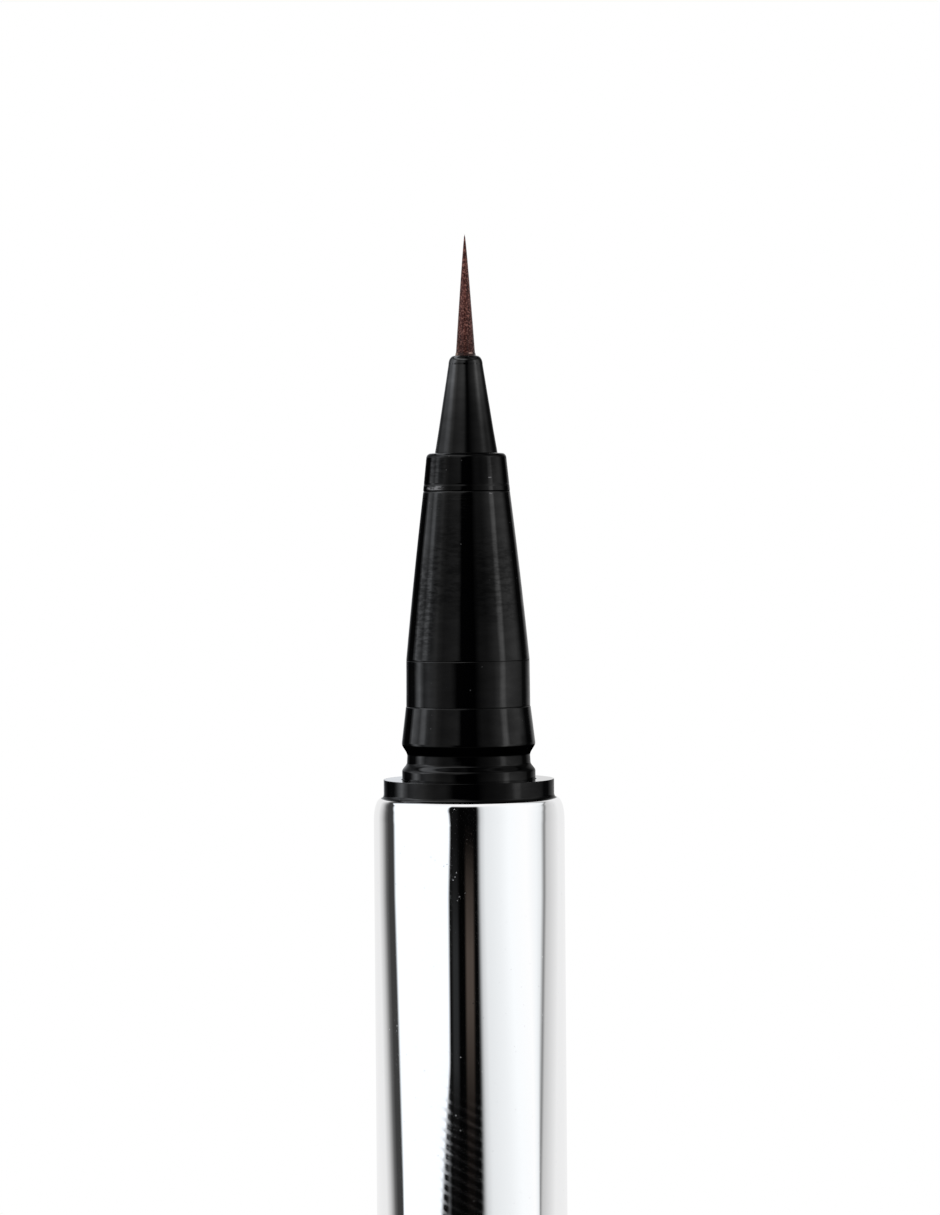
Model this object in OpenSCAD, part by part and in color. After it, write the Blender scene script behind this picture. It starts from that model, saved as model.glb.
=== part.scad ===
// Liquid eyeliner pen with a wet brush point and a mirror-bright barrel. It stands upright on its cap,
// which is posted on the tail. Free ink in a tank feeds the brush through a finned collector and a wick.
// The origin is the centre of the face it stands on, and +Z runs up the axis to the brush's point.
// All lengths are in millimetres.

/* [Barrel] */
// Outside diameter of the barrel and of the cap
barrel_d = 10.8; // [10.4:0.1:12]
// Length of the barrel's metal sleeve
barrel_len = 98; // [80:1:115]
// Wall of the barrel's sleeve and of the cap's shell
sleeve_wall = 0.47; // [0.4:0.01:0.6]
// How far in the sleeve's rolled edge curves
edge_in = 0.41; // [0.2:0.01:0.5]
// How far along the sleeve its rolled edge starts
edge_run = 1.25; // [0.5:0.05:2]
// Wall of the ink tank inside the sleeve
tank_wall = 0.8; // [0.6:0.05:0.95]
// Diameter of the steel mixing ball
ball_d = 4.5; // [3:0.1:5.5]

/* [Collar] */
// Radial step from the barrel in to the collar
collar_step = 0.61; // [0.55:0.01:0.8]
// Height of the collar above the barrel's edge
collar_h = 1.07; // [0.8:0.01:1.6]
// How far the collar's foot flares out
collar_foot_out = 0.18; // [0.05:0.01:0.2]
// Height of the flare at the collar's foot
collar_foot_h = 0.26; // [0.1:0.01:0.4]

/* [Cap click] */
// Radial step from the barrel in to the neck that the cap clicks into
neck_step = 1.955; // [1.85:0.005:2.1]
// Height of the neck
neck_h = 0.22; // [0.15:0.01:1]
// How far the bead under the neck stands out from it
bead_out = 0.295; // [0.15:0.005:0.35]
// Straight height of the bead, above the collar
bead_land = 0.4; // [0.2:0.01:0.6]
// Height of the slope from the bead up to the neck
bead_rise = 0.68; // [0.3:0.01:0.9]
// How far the lip over the neck stands out from it
lip_out = 0.3; // [0.15:0.005:0.35]
// Height of the slope from the neck up to the lip
lip_rise = 0.65; // [0.3:0.01:0.9]

/* [Grip] */
// Height of the flare above the lip
flare_h = 2.18; // [1.2:0.01:3]
// How far the top of the flare stands out from the neck
flare_top_out = 0.075; // [0:0.005:0.2]
// Height of the plain band
band_h = 2.6; // [1.5:0.01:4]
// How far the foot of the plain band stands out from the neck
band_low_out = 0.05; // [0:0.005:0.15]
// How far the top of the plain band stands out from the neck
band_top_out = 0.02; // [-0.05:0.005:0.1]
// Height of the long cone
cone_h = 9.67; // [8:0.01:12]
// How far the long cone's side swells past a straight line
cone_swell = 0.035; // [0:0.005:0.08]
// Diameter at the top of the long cone
cone_top_d = 4.84; // [4.7:0.01:5.2]
// Height of the short crown that ends the grip
crown_h = 2.03; // [1.6:0.01:2.6]
// Diameter at the top of the crown, before its edge is rounded
crown_top_d = 4.46; // [4.3:0.01:4.6]
// Rounding of the crown's edge
crown_round = 0.28; // [0.1:0.01:0.35]
// Wall of the grip at the neck
grip_wall = 0.74; // [0.6:0.01:0.85]

/* [Nozzle and brush] */
// Height of the nozzle above the grip
nozzle_h = 5.5; // [4.5:0.1:7]
// Diameter of the nozzle where it leaves the grip
nozzle_base_d = 3.47; // [3.3:0.01:3.6]
// Height of the flare at the nozzle's foot
nozzle_foot_h = 1.3; // [0.6:0.1:2]
// Diameter at the top of that flare
nozzle_waist_d = 3.03; // [2.9:0.01:3.2]
// Diameter at the nozzle's tip, before its edge is rounded
nozzle_tip_d = 1.87; // [1.7:0.01:2]
// How far in the rounding of the nozzle's tip goes
nozzle_round_in = 0.26; // [0.1:0.01:0.3]
// How far down the rounding of the nozzle's tip goes
nozzle_round_down = 0.4; // [0.2:0.01:0.6]
// Diameter of the brush where it leaves the nozzle
brush_d = 1.05; // [0.9:0.01:1.1]
// Length of the brush outside the nozzle
brush_len = 6.95; // [5.5:0.05:8]
// Length of the bound bristles inside the nozzle
brush_shank_len = 7; // [5:0.1:8]

/* [Ink feed] */
// Diameter of the wick in the collector
wick_d = 1.5; // [1.2:0.01:1.7]
// How far the wick reaches into the tank past the collector
wick_reach = 1.2; // [0.5:0.1:3]
// Length of the grip's tail inside the tank
feed_len = 20; // [15:0.5:26]
// Wall of the collector's hub around the wick
hub_wall = 0.55; // [0.4:0.01:0.7]
// Thickness of one collector fin
fin_t = 0.4; // [0.3:0.01:0.5]
// Distance from one fin to the next
fin_pitch = 0.8; // [0.7:0.01:1.2]
// Width of the ink slit through the fins
slit_w = 0.25; // [0.15:0.01:0.4]
// Width of the air channel through the fins
air_w = 0.9; // [0.5:0.01:1.2]

/* [Cap inside] */
// Travel of the sprung inner cap
inner_travel = 1.5; // [1:0.1:2.5]
// How far the inner cap is pushed back when the pen is capped
inner_squeeze = 0.5; // [0.3:0.05:0.8]
// Wall of the inner cap
inner_wall = 0.5; // [0.4:0.01:0.6]
// Height of the inner cap's flange
inner_flange_h = 1.6; // [1:0.1:2.5]
// How far the inner cap's flange stands out past its body
inner_flange_out = 0.76; // [0.6:0.01:0.9]
// Wire diameter of the inner cap's spring
wire_d = 0.3; // [0.2:0.01:0.35]
// Length of the inner cap's spring
spring_len = 7.4; // [6:0.1:9]
// Number of turns of the spring
spring_turns = 6; // [4:1:7]

/* [Hidden] */
$fn = 96;

// Steps of a rounded edge, of an eased slope, and of the long cone's swell
arc_steps = 6;
ease_steps = 8;
swell_steps = 8;
// How far a cut runs past what it cuts
overrun = 1;

// Clearances of pressed fits, of sliding fits, and of faces that rest on each other
slip_gap = 0.03;
slide_gap = 0.1;
rest_gap = 0.02;
// Clearances of the collar round the bead, and of the cap's rib, bore and mouth round the pen
collar_gap = 0.04;
click_gap = 0.03;
bore_gap = 0.16;
seam_gap = 0.05;

// Sizes of the barrel's own small features
edge_land = 0.05;
seat_flange_h = 0.5;
plug_len = 8;
seal_cord_d = 0.84;
seal_groove_h = 1.1;
dish_slope = 35;

// Sizes of the cap's own small features
mouth_round = 0.18;
mouth_relief_h = 0.35;
mouth_relief_gap = 0.045;
cap_round = 0.6;
cap_crown_t = 0.5;
liner_lead = 0.3;
liner_end_t = 0.8;
click_rib_h = 0.3;
retain_h = 0.5;
retain_gap = 0.33;
tip_room = 0.8;
inner_end_t = 0.6;
inner_end_gap = 0.3;
inner_lead = 0.2;
nozzle_room = 0.12;
mouth_seal_h = 1;
mouth_seal_proud = 0.2;
mouth_seal_gap = 0.15;
mouth_seal_over = 0.1;
mouth_seal_cone_h = 0.6;

// Sizes of the tail post past its lip, and of the spigot that holds it in the tank's plug
post_land = 0.5;
post_nose_h = 1.8;
post_nose_in = 0.5;
post_end_t = 1.6;
post_spigot_h = 3.4;
plug_socket_wall = 1.25;

// Sizes of the nozzle's and feed's own small features
parting_h = 0.06;
parting_in = 0.05;
stem_out = 0.18;
stem_h = 4.2;
stem_lead = 0.2;
guide_h = 2.4;
holder_wall = 0.38;
holder_top_drop = 3.5;
spigot_h = 0.7;
disc_h = 1.1;
fin_top_drop = 0.8;
rear_disc_h = 1.6;
wick_front_gap = 0.03;
wick_point_h = 0.6;
air_depth_share = 0.6;

// Rings of bristles, points of one bristle, and shares of the brush's length and radius that shape them
bristle_rings = 10;
bristle_points = 7;
bristle_fill_share = 0.78;
bristle_bend_share = 0.45;
bristle_stagger_share = 0.14;
brush_taper_power = 0.84;

// Spring mesh: sides of the wire and rings in each turn
wire_sides = 6;
wire_rings = 8;

// Radii that the pieces share
barrel_r = barrel_d / 2;
sleeve_bore_r = barrel_r - sleeve_wall;
tank_r = sleeve_bore_r - slip_gap;
tank_bore_r = tank_r - tank_wall;
plug_r = tank_bore_r - slip_gap;
collar_r = barrel_r - collar_step;
foot_r = collar_r + collar_foot_out;
neck_r = barrel_r - neck_step;
bead_r = neck_r + bead_out;
lip_r = neck_r + lip_out;
widest_r = max(bead_r, lip_r);
feed_bore_r = neck_r - grip_wall;
brush_r = brush_d / 2;
brush_bore_r = brush_r + slip_gap;
cone_top_r = cone_top_d / 2;
nozzle_base_r = nozzle_base_d / 2;
stem_r = nozzle_base_r + stem_out;
nozzle_bore_r = brush_bore_r + holder_wall + slip_gap;
wick_r = wick_d / 2;
wick_front_r = brush_r - wick_front_gap;
hub_r = wick_r + slip_gap + hub_wall;
fin_r = feed_bore_r - slip_gap;
seal_r = seal_cord_d / 2;
groove_floor_r = tank_bore_r - rest_gap - seal_cord_d - rest_gap;
socket_r = groove_floor_r - plug_socket_wall;
ball_r = ball_d / 2;
dish_depth = ball_r * tan(dish_slope);

// Heights above the barrel's top edge
bead_top_h = collar_h + bead_land + bead_rise;
neck_top_h = bead_top_h + neck_h;
lip_h = neck_top_h + lip_rise;
flare_top_h = lip_h + flare_h;
band_top_h = flare_top_h + band_h;
cone_top_h = band_top_h + cone_h;
grip_top_h = cone_top_h + crown_h;
nozzle_top_h = grip_top_h + nozzle_h;
brush_top_h = nozzle_top_h + brush_len;

// Depths inside the cap, from its mouth
liner_mouth_d = collar_h + slide_gap;
click_d = (bead_top_h + neck_top_h) / 2;
inner_mouth_d = grip_top_h - inner_squeeze + mouth_seal_proud;
retain_d = inner_mouth_d - rest_gap - retain_h;
inner_floor_d = brush_top_h + tip_room;
inner_end_d = inner_floor_d + inner_end_t;
spring_top_d = inner_mouth_d + inner_flange_h;
spring_seat_d = spring_top_d + spring_len;
liner_floor_d = inner_end_d + inner_travel + inner_end_gap;
liner_end_d = liner_floor_d + liner_end_t;
cap_len = liner_end_d + rest_gap + cap_crown_t;

// Radii inside the cap
liner_bore_r = widest_r + bore_gap;
click_rib_r = widest_r + click_gap;
retain_r = cone_top_r + retain_gap;
mouth_seal_r = retain_r - mouth_seal_gap;
inner_bore_r = nozzle_base_r + nozzle_room;
inner_r = inner_bore_r + inner_wall;
inner_flange_r = inner_r + inner_flange_out;
wire_r = wire_d / 2;
spring_r = inner_flange_r - wire_r;

// Heights of the whole pen
cap_mouth_z = cap_len;
tail_z = cap_mouth_z + seam_gap;
top_z = tail_z + barrel_len;
tank_low_z = tail_z + seat_flange_h;
tank_top_z = top_z - seat_flange_h;
plug_top_z = tank_low_z + plug_len;
feed_low_z = top_z - feed_len;
section_plug_low_z = tank_top_z - plug_len;
nozzle_low_z = top_z + cone_top_h - stem_h;
holder_top_z = top_z + nozzle_top_h - holder_top_drop;
shank_low_z = top_z + nozzle_top_h - brush_shank_len;
spigot_top_z = nozzle_low_z + spigot_h;
disc_low_z = nozzle_low_z - disc_h;
fins_low_z = feed_low_z + rear_disc_h;
fins_top_z = top_z + band_top_h - fin_top_drop;
wick_low_z = feed_low_z - wick_reach;

// Quarter of an ellipse from [r, z] to [r + dr, z + dz], which sets out along the axis
function curve_from_axis(r, z, dr, dz) =
    [for (i = [0:arc_steps]) let (a = 90 * i / arc_steps) [r + dr * (1 - cos(a)), z + dz * sin(a)]];

// The same quarter, which sets out along the radius
function curve_from_radius(r, z, dr, dz) =
    [for (i = [0:arc_steps]) let (a = 90 * i / arc_steps) [r + dr * sin(a), z + dz * (1 - cos(a))]];

// Slope from [r, z] to [r + dr, z + dz], which sets out and arrives along the axis
function eased(r, z, dr, dz) =
    [for (i = [0:ease_steps]) let (t = i / ease_steps) [r + dr * (1 - cos(180 * t)) / 2, z + dz * t]];

// Straight line from p to q, swollen by at most the amount s
function swollen(p, q, s) =
    [for (i = [0:swell_steps]) let (t = i / swell_steps) p + t * (q - p) + [4 * s * t * (1 - t), 0]];

// Turns an outline's heights upside down about height zero
function flipped(list) = [for (p = list) [p[0], -p[1]]];

function raised(list, z) = [for (p = list) [p[0], p[1] + z]];

// Outline of a collar ring, with its flared foot at height zero
function collar_outline() = concat(
    curve_from_radius(foot_r, 0, -collar_foot_out, collar_foot_h),
    [[collar_r, collar_h], [bead_r + collar_gap, collar_h], [bead_r + collar_gap, 0]]);

// Outline of the bead, neck and lip, from the barrel's edge up
function click_outline() = concat(
    [[bead_r, 0]],
    eased(bead_r, collar_h + bead_land, -bead_out, bead_rise),
    eased(neck_r, neck_top_h, lip_out, lip_rise));

// Groove for a seal ring in a plug, with its middle at height z, from the bottom up
function seal_groove(z) = [
    [plug_r, z - seal_groove_h / 2],
    [groove_floor_r, z - seal_groove_h / 2],
    [groove_floor_r, z + seal_groove_h / 2],
    [plug_r, z + seal_groove_h / 2],
];

// Solid of revolution about the pen's axis
module turned(outline) {
    rotate_extrude() polygon(outline);
}

module barrel_sleeve() {
    roll = min(edge_in, sleeve_wall - edge_land);
    color("gainsboro")
        turned(concat(
            [[sleeve_bore_r, tail_z]],
            curve_from_radius(barrel_r - roll, tail_z, roll, edge_run),
            curve_from_axis(barrel_r, top_z - edge_run, -roll, edge_run),
            [[sleeve_bore_r, top_z]]));
}

module ink_tank() {
    color("whitesmoke", 0.6)
        turned([
            [tank_bore_r, tank_low_z],
            [tank_r, tank_low_z],
            [tank_r, tank_top_z],
            [tank_bore_r, tank_top_z],
        ]);
}

// The plug closes the tank, and the ball rests in the dish in its top.
module tank_plug() {
    socket_top_z = tank_low_z + post_spigot_h + rest_gap;
    color("white")
        turned(concat(
            [
                [0, plug_top_z - dish_depth],
                [0, socket_top_z],
                [socket_r, socket_top_z],
                [socket_r, tank_low_z],
                [plug_r, tank_low_z],
            ],
            seal_groove(tank_low_z + plug_len / 2),
            [[plug_r, plug_top_z], [ball_r, plug_top_z]]));
}

// The post repeats the grip's bead, neck and lip, so that the cap also clicks on the tail.
module tail_post() {
    nose_h = lip_h + post_land;
    core_r = neck_r - grip_wall;
    core_top_z = tank_low_z - post_end_t;
    spigot_r = socket_r - slip_gap;
    color("black")
        turned(concat(
            [
                [0, tank_low_z + post_spigot_h],
                [spigot_r, tank_low_z + post_spigot_h],
                [spigot_r, tank_low_z],
                [tank_r, tank_low_z],
                [tank_r, tail_z],
            ],
            raised(flipped(click_outline()), tail_z),
            raised(flipped(curve_from_axis(lip_r, nose_h, -post_nose_in, post_nose_h)), tail_z),
            [[core_r, tail_z - nose_h - post_nose_h], [core_r, core_top_z], [0, core_top_z]]));
}

module seal_ring(z) {
    color("dimgray")
        translate([0, 0, z])
            rotate_extrude() translate([tank_bore_r - rest_gap - seal_r, 0]) circle(r = seal_r);
}

// The dish holds the ball's centre above its apex by the ball's radius over the cosine of the slope.
module mixing_ball() {
    color("silver")
        translate([0, 0, plug_top_z - dish_depth + (ball_r + rest_gap) / cos(dish_slope)])
            sphere(r = ball_r);
}

module collar_ring() {
    color("black") turned(raised(collar_outline(), top_z));
}

// The same ring as at the front, turned over
module tail_collar_ring() {
    color("black") turned(raised(flipped(collar_outline()), tail_z));
}

// Outside of the grip from the barrel's edge to the parting line under the nozzle's crown
function grip_outline() = concat(
    click_outline(),
    [[neck_r + flare_top_out, flare_top_h], [neck_r + band_low_out, flare_top_h]],
    swollen([neck_r + band_top_out, band_top_h], [cone_top_r, cone_top_h - parting_h], cone_swell),
    [[cone_top_r - parting_in, cone_top_h]]);

// The grip plugs the tank's front, and its tail is a tube around the collector.
module grip_section() {
    tail_r = feed_bore_r + grip_wall;
    guide_r = stem_r + slip_gap;
    color("black")
        turned(concat(
            [[feed_bore_r, feed_low_z], [tail_r, feed_low_z], [tail_r, section_plug_low_z]],
            [[plug_r, section_plug_low_z]],
            seal_groove(section_plug_low_z + plug_len / 2),
            [[plug_r, tank_top_z], [tank_r, tank_top_z], [tank_r, top_z]],
            raised(grip_outline(), top_z),
            [
                [guide_r, top_z + cone_top_h],
                [guide_r, nozzle_low_z - guide_h],
                [feed_bore_r, top_z + band_top_h],
            ]));
}

// The nozzle is pressed into the grip by its stem, up to the crown that ends the grip's long cone.
module nozzle_tip() {
    crown_z = top_z + cone_top_h;
    tip_round_z = top_z + nozzle_top_h - nozzle_round_down;
    color("black")
        turned(concat(
            [
                [nozzle_bore_r, nozzle_low_z],
                [stem_r - stem_lead, nozzle_low_z],
                [stem_r, nozzle_low_z + stem_lead],
                [stem_r, crown_z],
                [cone_top_r - parting_in, crown_z],
                [cone_top_r, crown_z + parting_h],
            ],
            curve_from_axis(crown_top_d / 2, top_z + grip_top_h - crown_round, -crown_round, crown_round),
            [
                [nozzle_base_r, top_z + grip_top_h],
                [nozzle_waist_d / 2, top_z + grip_top_h + nozzle_foot_h],
            ],
            curve_from_axis(nozzle_tip_d / 2, tip_round_z, -nozzle_round_in, nozzle_round_down),
            [
                [brush_bore_r, top_z + nozzle_top_h],
                [brush_bore_r, holder_top_z],
                [nozzle_bore_r, holder_top_z],
            ]));
}

module brush_holder() {
    outer_r = nozzle_bore_r - slip_gap;
    color("ivory")
        turned([
            [brush_bore_r, spigot_top_z],
            [outer_r, spigot_top_z],
            [outer_r, holder_top_z],
            [brush_bore_r, holder_top_z],
        ]);
}

// Share of the brush's radius that is left at the share t of its length
function brush_taper(t) = pow(1 - t, brush_taper_power);

// Hexagonal ring on which lattice point [i, j] of the bristle pattern lies
function ring_of(i, j) = max(abs(i), abs(j), abs(i + j));

// Place of lattice point [i, j], with the hexagonal rings drawn out to circles
function lattice(i, j) =
    let (
        x = i + j / 2,
        y = j * sin(60),
        far = norm([x, y]))
    far == 0 ? [0, 0] : [x, y] * (ring_of(i, j) / far) * (brush_r / bristle_rings);

// The brush is one mesh. A lattice of triangles covers the end of the bound bristles. Each triangle that
// points up carries one bristle of three sides, which bends in with the others to the brush's point.
module brush_tuft() {
    n = bristle_rings;
    low_z = shank_low_z;
    face_z = top_z + nozzle_top_h;
    spots = [for (j = [-n:n], i = [-n:n]) if (ring_of(i, j) <= n) [i, j]];
    up = [for (s = spots) if (ring_of(s[0] + 1, s[1]) <= n && ring_of(s[0], s[1] + 1) <= n)
        [s, s + [1, 0], s + [0, 1]]];
    down = [for (s = spots) if (ring_of(s[0] + 1, s[1]) <= n && ring_of(s[0] + 1, s[1] - 1) <= n)
        [s, s + [1, -1], s + [1, 0]]];

    // Row starts let a lattice point's place in the list be worked out from its row and column.
    row_start = [for (j = -n, total = 0; j <= n; total = total + (2 * n + 1 - abs(j)), j = j + 1) total];
    function row_first(j) = max(-n, -n - j);
    function index(s) = row_start[s[1] + n] + s[0] - row_first(s[1]);

    face = [for (s = spots) [each lattice(s[0], s[1]), face_z]];
    count = len(spots);

    // The six inmost bristles lie this far out, and reach the brush's full length.
    inmost_r = brush_r / bristle_rings / sqrt(3);

    // Three corners at the foot, three at the bend and one point for each bristle
    bristles = [for (t = up) let (
            corners = [for (s = t) lattice(s[0], s[1])],
            middle = (corners[0] + corners[1] + corners[2]) / 3,
            length_share = 1 - bristle_stagger_share * (norm(middle) - inmost_r) / brush_r,
            foot = [for (c = corners) middle + (c - middle) * bristle_fill_share],
            bend = brush_taper(bristle_bend_share))
        each concat(
            [for (c = foot) [each c, face_z]],
            [for (c = foot) [each (c * bend), face_z + brush_len * bristle_bend_share]],
            [[each (middle * brush_taper(length_share)), face_z + brush_len * length_share]])];

    // The rim of the lattice in order, and the same rim at the foot of the shank
    rim_steps = [[-1, 1], [-1, 0], [0, -1], [1, -1], [1, 0], [0, 1]];
    corners = [[n, 0], [0, n], [-n, n], [-n, 0], [0, -n], [n, -n]];
    rim = [for (c = [0:5], k = [0:n - 1]) index(corners[c] + rim_steps[c] * k)];
    rim_count = len(rim);
    first_foot = count;
    first_low = count + len(bristles);
    low = [for (r = rim) [face[r][0], face[r][1], low_z]];

    face_rings = [for (b = [0:len(up) - 1], k = [0:2]) let (
            s = first_foot + bristle_points * b,
            a = index(up[b][k]),
            a_next = index(up[b][(k + 1) % 3]))
        each [[a, s + k, a_next], [a_next, s + k, s + (k + 1) % 3]]];
    face_downs = [for (t = down) [index(t[0]), index(t[2]), index(t[1])]];
    sides = [for (b = [0:len(up) - 1], k = [0:2]) let (
            s = first_foot + bristle_points * b,
            next = (k + 1) % 3)
        each [
            [s + k, s + 3 + k, s + next],
            [s + next, s + 3 + k, s + 3 + next],
            [s + 3 + k, s + 6, s + 3 + next],
        ]];
    shank = [for (k = [0:rim_count - 1]) let (next = (k + 1) % rim_count)
        each [
            [first_low + k, rim[k], rim[next]],
            [first_low + k, rim[next], first_low + next],
        ]];
    bottom = [[for (k = [0:rim_count - 1]) first_low + k]];

    color("saddlebrown")
        polyhedron(
            points = concat(face, bristles, low),
            faces = concat(face_rings, face_downs, sides, shank, bottom));
}

// The collector holds ink between its fins, which one narrow slit feeds and one wider channel vents.
module collector() {
    fins = floor((fins_top_z - fins_low_z) / fin_pitch);
    gap = fin_pitch - fin_t;
    narrow_r = wick_front_r + slip_gap;
    air_depth = (fin_r - hub_r) * air_depth_share;
    color("white")
        difference() {
            turned(concat(
                [
                    [wick_r + slip_gap, feed_low_z],
                    [fin_r, feed_low_z],
                    [fin_r, fins_low_z],
                    [hub_r, fins_low_z],
                ],
                [for (k = [0:fins - 1]) let (z = fins_low_z + gap + k * fin_pitch)
                    each [[hub_r, z], [fin_r, z], [fin_r, z + fin_t], [hub_r, z + fin_t]]],
                [
                    [hub_r, disc_low_z],
                    [stem_r, disc_low_z],
                    [stem_r, nozzle_low_z],
                    [nozzle_bore_r - slip_gap, nozzle_low_z],
                    [nozzle_bore_r - slip_gap, spigot_top_z],
                    [narrow_r, spigot_top_z],
                    [narrow_r, disc_low_z],
                    [wick_r + slip_gap, disc_low_z],
                ]));
            translate([0, -slit_w / 2, feed_low_z - overrun])
                cube([fin_r + overrun, slit_w, overrun + fins_top_z - feed_low_z]);
            translate([-fin_r - overrun, -air_w / 2, fins_low_z])
                cube([overrun + air_depth, air_w, fins_top_z - fins_low_z]);
        }
}

module feed_wick() {
    color("tan")
        turned([
            [0, wick_low_z],
            [wick_r, wick_low_z],
            [wick_r, disc_low_z - rest_gap],
            [wick_front_r, disc_low_z - rest_gap],
            [wick_front_r, shank_low_z - wick_point_h],
            [wick_front_r / 2, shank_low_z - rest_gap],
            [0, shank_low_z - rest_gap],
        ]);
}

// Height of a depth inside the cap
function in_cap(d) = cap_mouth_z - d;

module cap_shell() {
    relief_r = foot_r + mouth_relief_gap;
    color("gainsboro")
        turned(concat(
            [[0, 0]],
            curve_from_radius(barrel_r - cap_round, 0, cap_round, cap_round),
            curve_from_axis(barrel_r, in_cap(mouth_round), -mouth_round, mouth_round),
            [
                [relief_r, in_cap(0)],
                [relief_r, in_cap(mouth_relief_h)],
                [sleeve_bore_r, in_cap(mouth_relief_h)],
                [sleeve_bore_r, cap_crown_t],
                [0, cap_crown_t],
            ]));
}

// The liner clicks on the neck, stops the inner cap at its retaining lip, and guides its spring.
module cap_liner() {
    chamber_r = inner_flange_r + slide_gap;
    guide_r = inner_r + slide_gap;
    rib_in = liner_bore_r - click_rib_r;
    color("white")
        turned([
            [0, in_cap(liner_end_d)],
            [tank_r - liner_lead, in_cap(liner_end_d)],
            [tank_r, in_cap(liner_end_d - liner_lead)],
            [tank_r, in_cap(liner_mouth_d)],
            [liner_bore_r + liner_lead, in_cap(liner_mouth_d)],
            [liner_bore_r, in_cap(liner_mouth_d + liner_lead)],
            [liner_bore_r, in_cap(click_d - click_rib_h / 2 - rib_in)],
            [click_rib_r, in_cap(click_d - click_rib_h / 2)],
            [click_rib_r, in_cap(click_d + click_rib_h / 2)],
            [liner_bore_r, in_cap(click_d + click_rib_h / 2 + rib_in)],
            [liner_bore_r, in_cap(retain_d - (liner_bore_r - retain_r))],
            [retain_r, in_cap(retain_d)],
            [retain_r, in_cap(retain_d + retain_h)],
            [chamber_r, in_cap(retain_d + retain_h)],
            [chamber_r, in_cap(spring_seat_d)],
            [guide_r, in_cap(spring_seat_d)],
            [guide_r, in_cap(liner_floor_d)],
            [0, in_cap(liner_floor_d)],
        ]);
}

// The spring presses the inner cap's seal on the nozzle's crown, so that the brush stays wet.
module inner_cap() {
    seat_r = mouth_seal_r + rest_gap;
    seat_d = inner_mouth_d - mouth_seal_proud + mouth_seal_h + rest_gap;
    color("white")
        turned([
            [0, in_cap(inner_end_d)],
            [inner_r - inner_lead, in_cap(inner_end_d)],
            [inner_r, in_cap(inner_end_d - inner_lead)],
            [inner_r, in_cap(spring_top_d)],
            [inner_flange_r, in_cap(spring_top_d)],
            [inner_flange_r, in_cap(inner_mouth_d)],
            [seat_r, in_cap(inner_mouth_d)],
            [seat_r, in_cap(seat_d)],
            [inner_bore_r, in_cap(seat_d)],
            [inner_bore_r, in_cap(inner_floor_d)],
            [0, in_cap(inner_floor_d)],
        ]);
}

// The seal's cone closes on the rounded edge of the nozzle's crown.
module inner_cap_seal() {
    face_d = inner_mouth_d - mouth_seal_proud;
    color("dimgray")
        turned([
            [inner_bore_r, in_cap(face_d + mouth_seal_h)],
            [mouth_seal_r, in_cap(face_d + mouth_seal_h)],
            [mouth_seal_r, in_cap(face_d)],
            [crown_top_d / 2 + mouth_seal_over, in_cap(face_d)],
            [inner_bore_r, in_cap(face_d + mouth_seal_cone_h)],
        ]);
}

// A round wire wound in a helix: each ring of the tube stands square to the wire.
module inner_cap_spring() {
    low_z = in_cap(spring_seat_d) + wire_r + rest_gap;
    rise = spring_len - wire_d - 2 * rest_gap;
    rings = spring_turns * wire_rings;
    slope = atan(rise / (spring_turns * 2 * PI * spring_r));
    points = [for (i = [0:rings], k = [0:wire_sides - 1]) let (
            turn = 360 * i / wire_rings,
            side = 360 * k / wire_sides,
            out = wire_r * cos(side),
            up = wire_r * sin(side))
        [
            (spring_r + out) * cos(turn) + up * sin(slope) * sin(turn),
            (spring_r + out) * sin(turn) - up * sin(slope) * cos(turn),
            low_z + rise * i / rings + up * cos(slope),
        ]];
    walls = [for (i = [0:rings - 1], k = [0:wire_sides - 1]) let (
            a = i * wire_sides + k,
            b = i * wire_sides + (k + 1) % wire_sides)
        each [[a, b + wire_sides, b], [a, a + wire_sides, b + wire_sides]]];
    start = [for (k = [0:wire_sides - 1]) k];
    end = [for (k = [wire_sides - 1:-1:0]) rings * wire_sides + k];

    // Each ring is measured against the rings within a quarter turn of the place one turn on.
    quarter = wire_rings / 4;
    sides = [0:wire_sides - 1];
    gaps = [for (i = [0:rings - wire_rings], j = [-quarter:quarter], k = sides, m = sides)
        let (near = i + wire_rings + j)
        if (near <= rings) norm(points[i * wire_sides + k] - points[near * wire_sides + m])];
    echo(least_gap_between_turns = min(gaps));

    color("silver")
        polyhedron(points = points, faces = concat(walls, [start, end]));
}

cap_shell();
cap_liner();
inner_cap();
inner_cap_seal();
inner_cap_spring();
barrel_sleeve();
ink_tank();
tail_collar_ring();
tail_post();
tank_plug();
seal_ring(tank_low_z + plug_len / 2);  // tail_seal_ring
mixing_ball();
collar_ring();
grip_section();
seal_ring(section_plug_low_z + plug_len / 2);  // section_seal_ring
nozzle_tip();
brush_holder();
brush_tuft();
collector();
feed_wick();
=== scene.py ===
import math
import random

import bpy
from mathutils import Matrix, Vector


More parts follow.
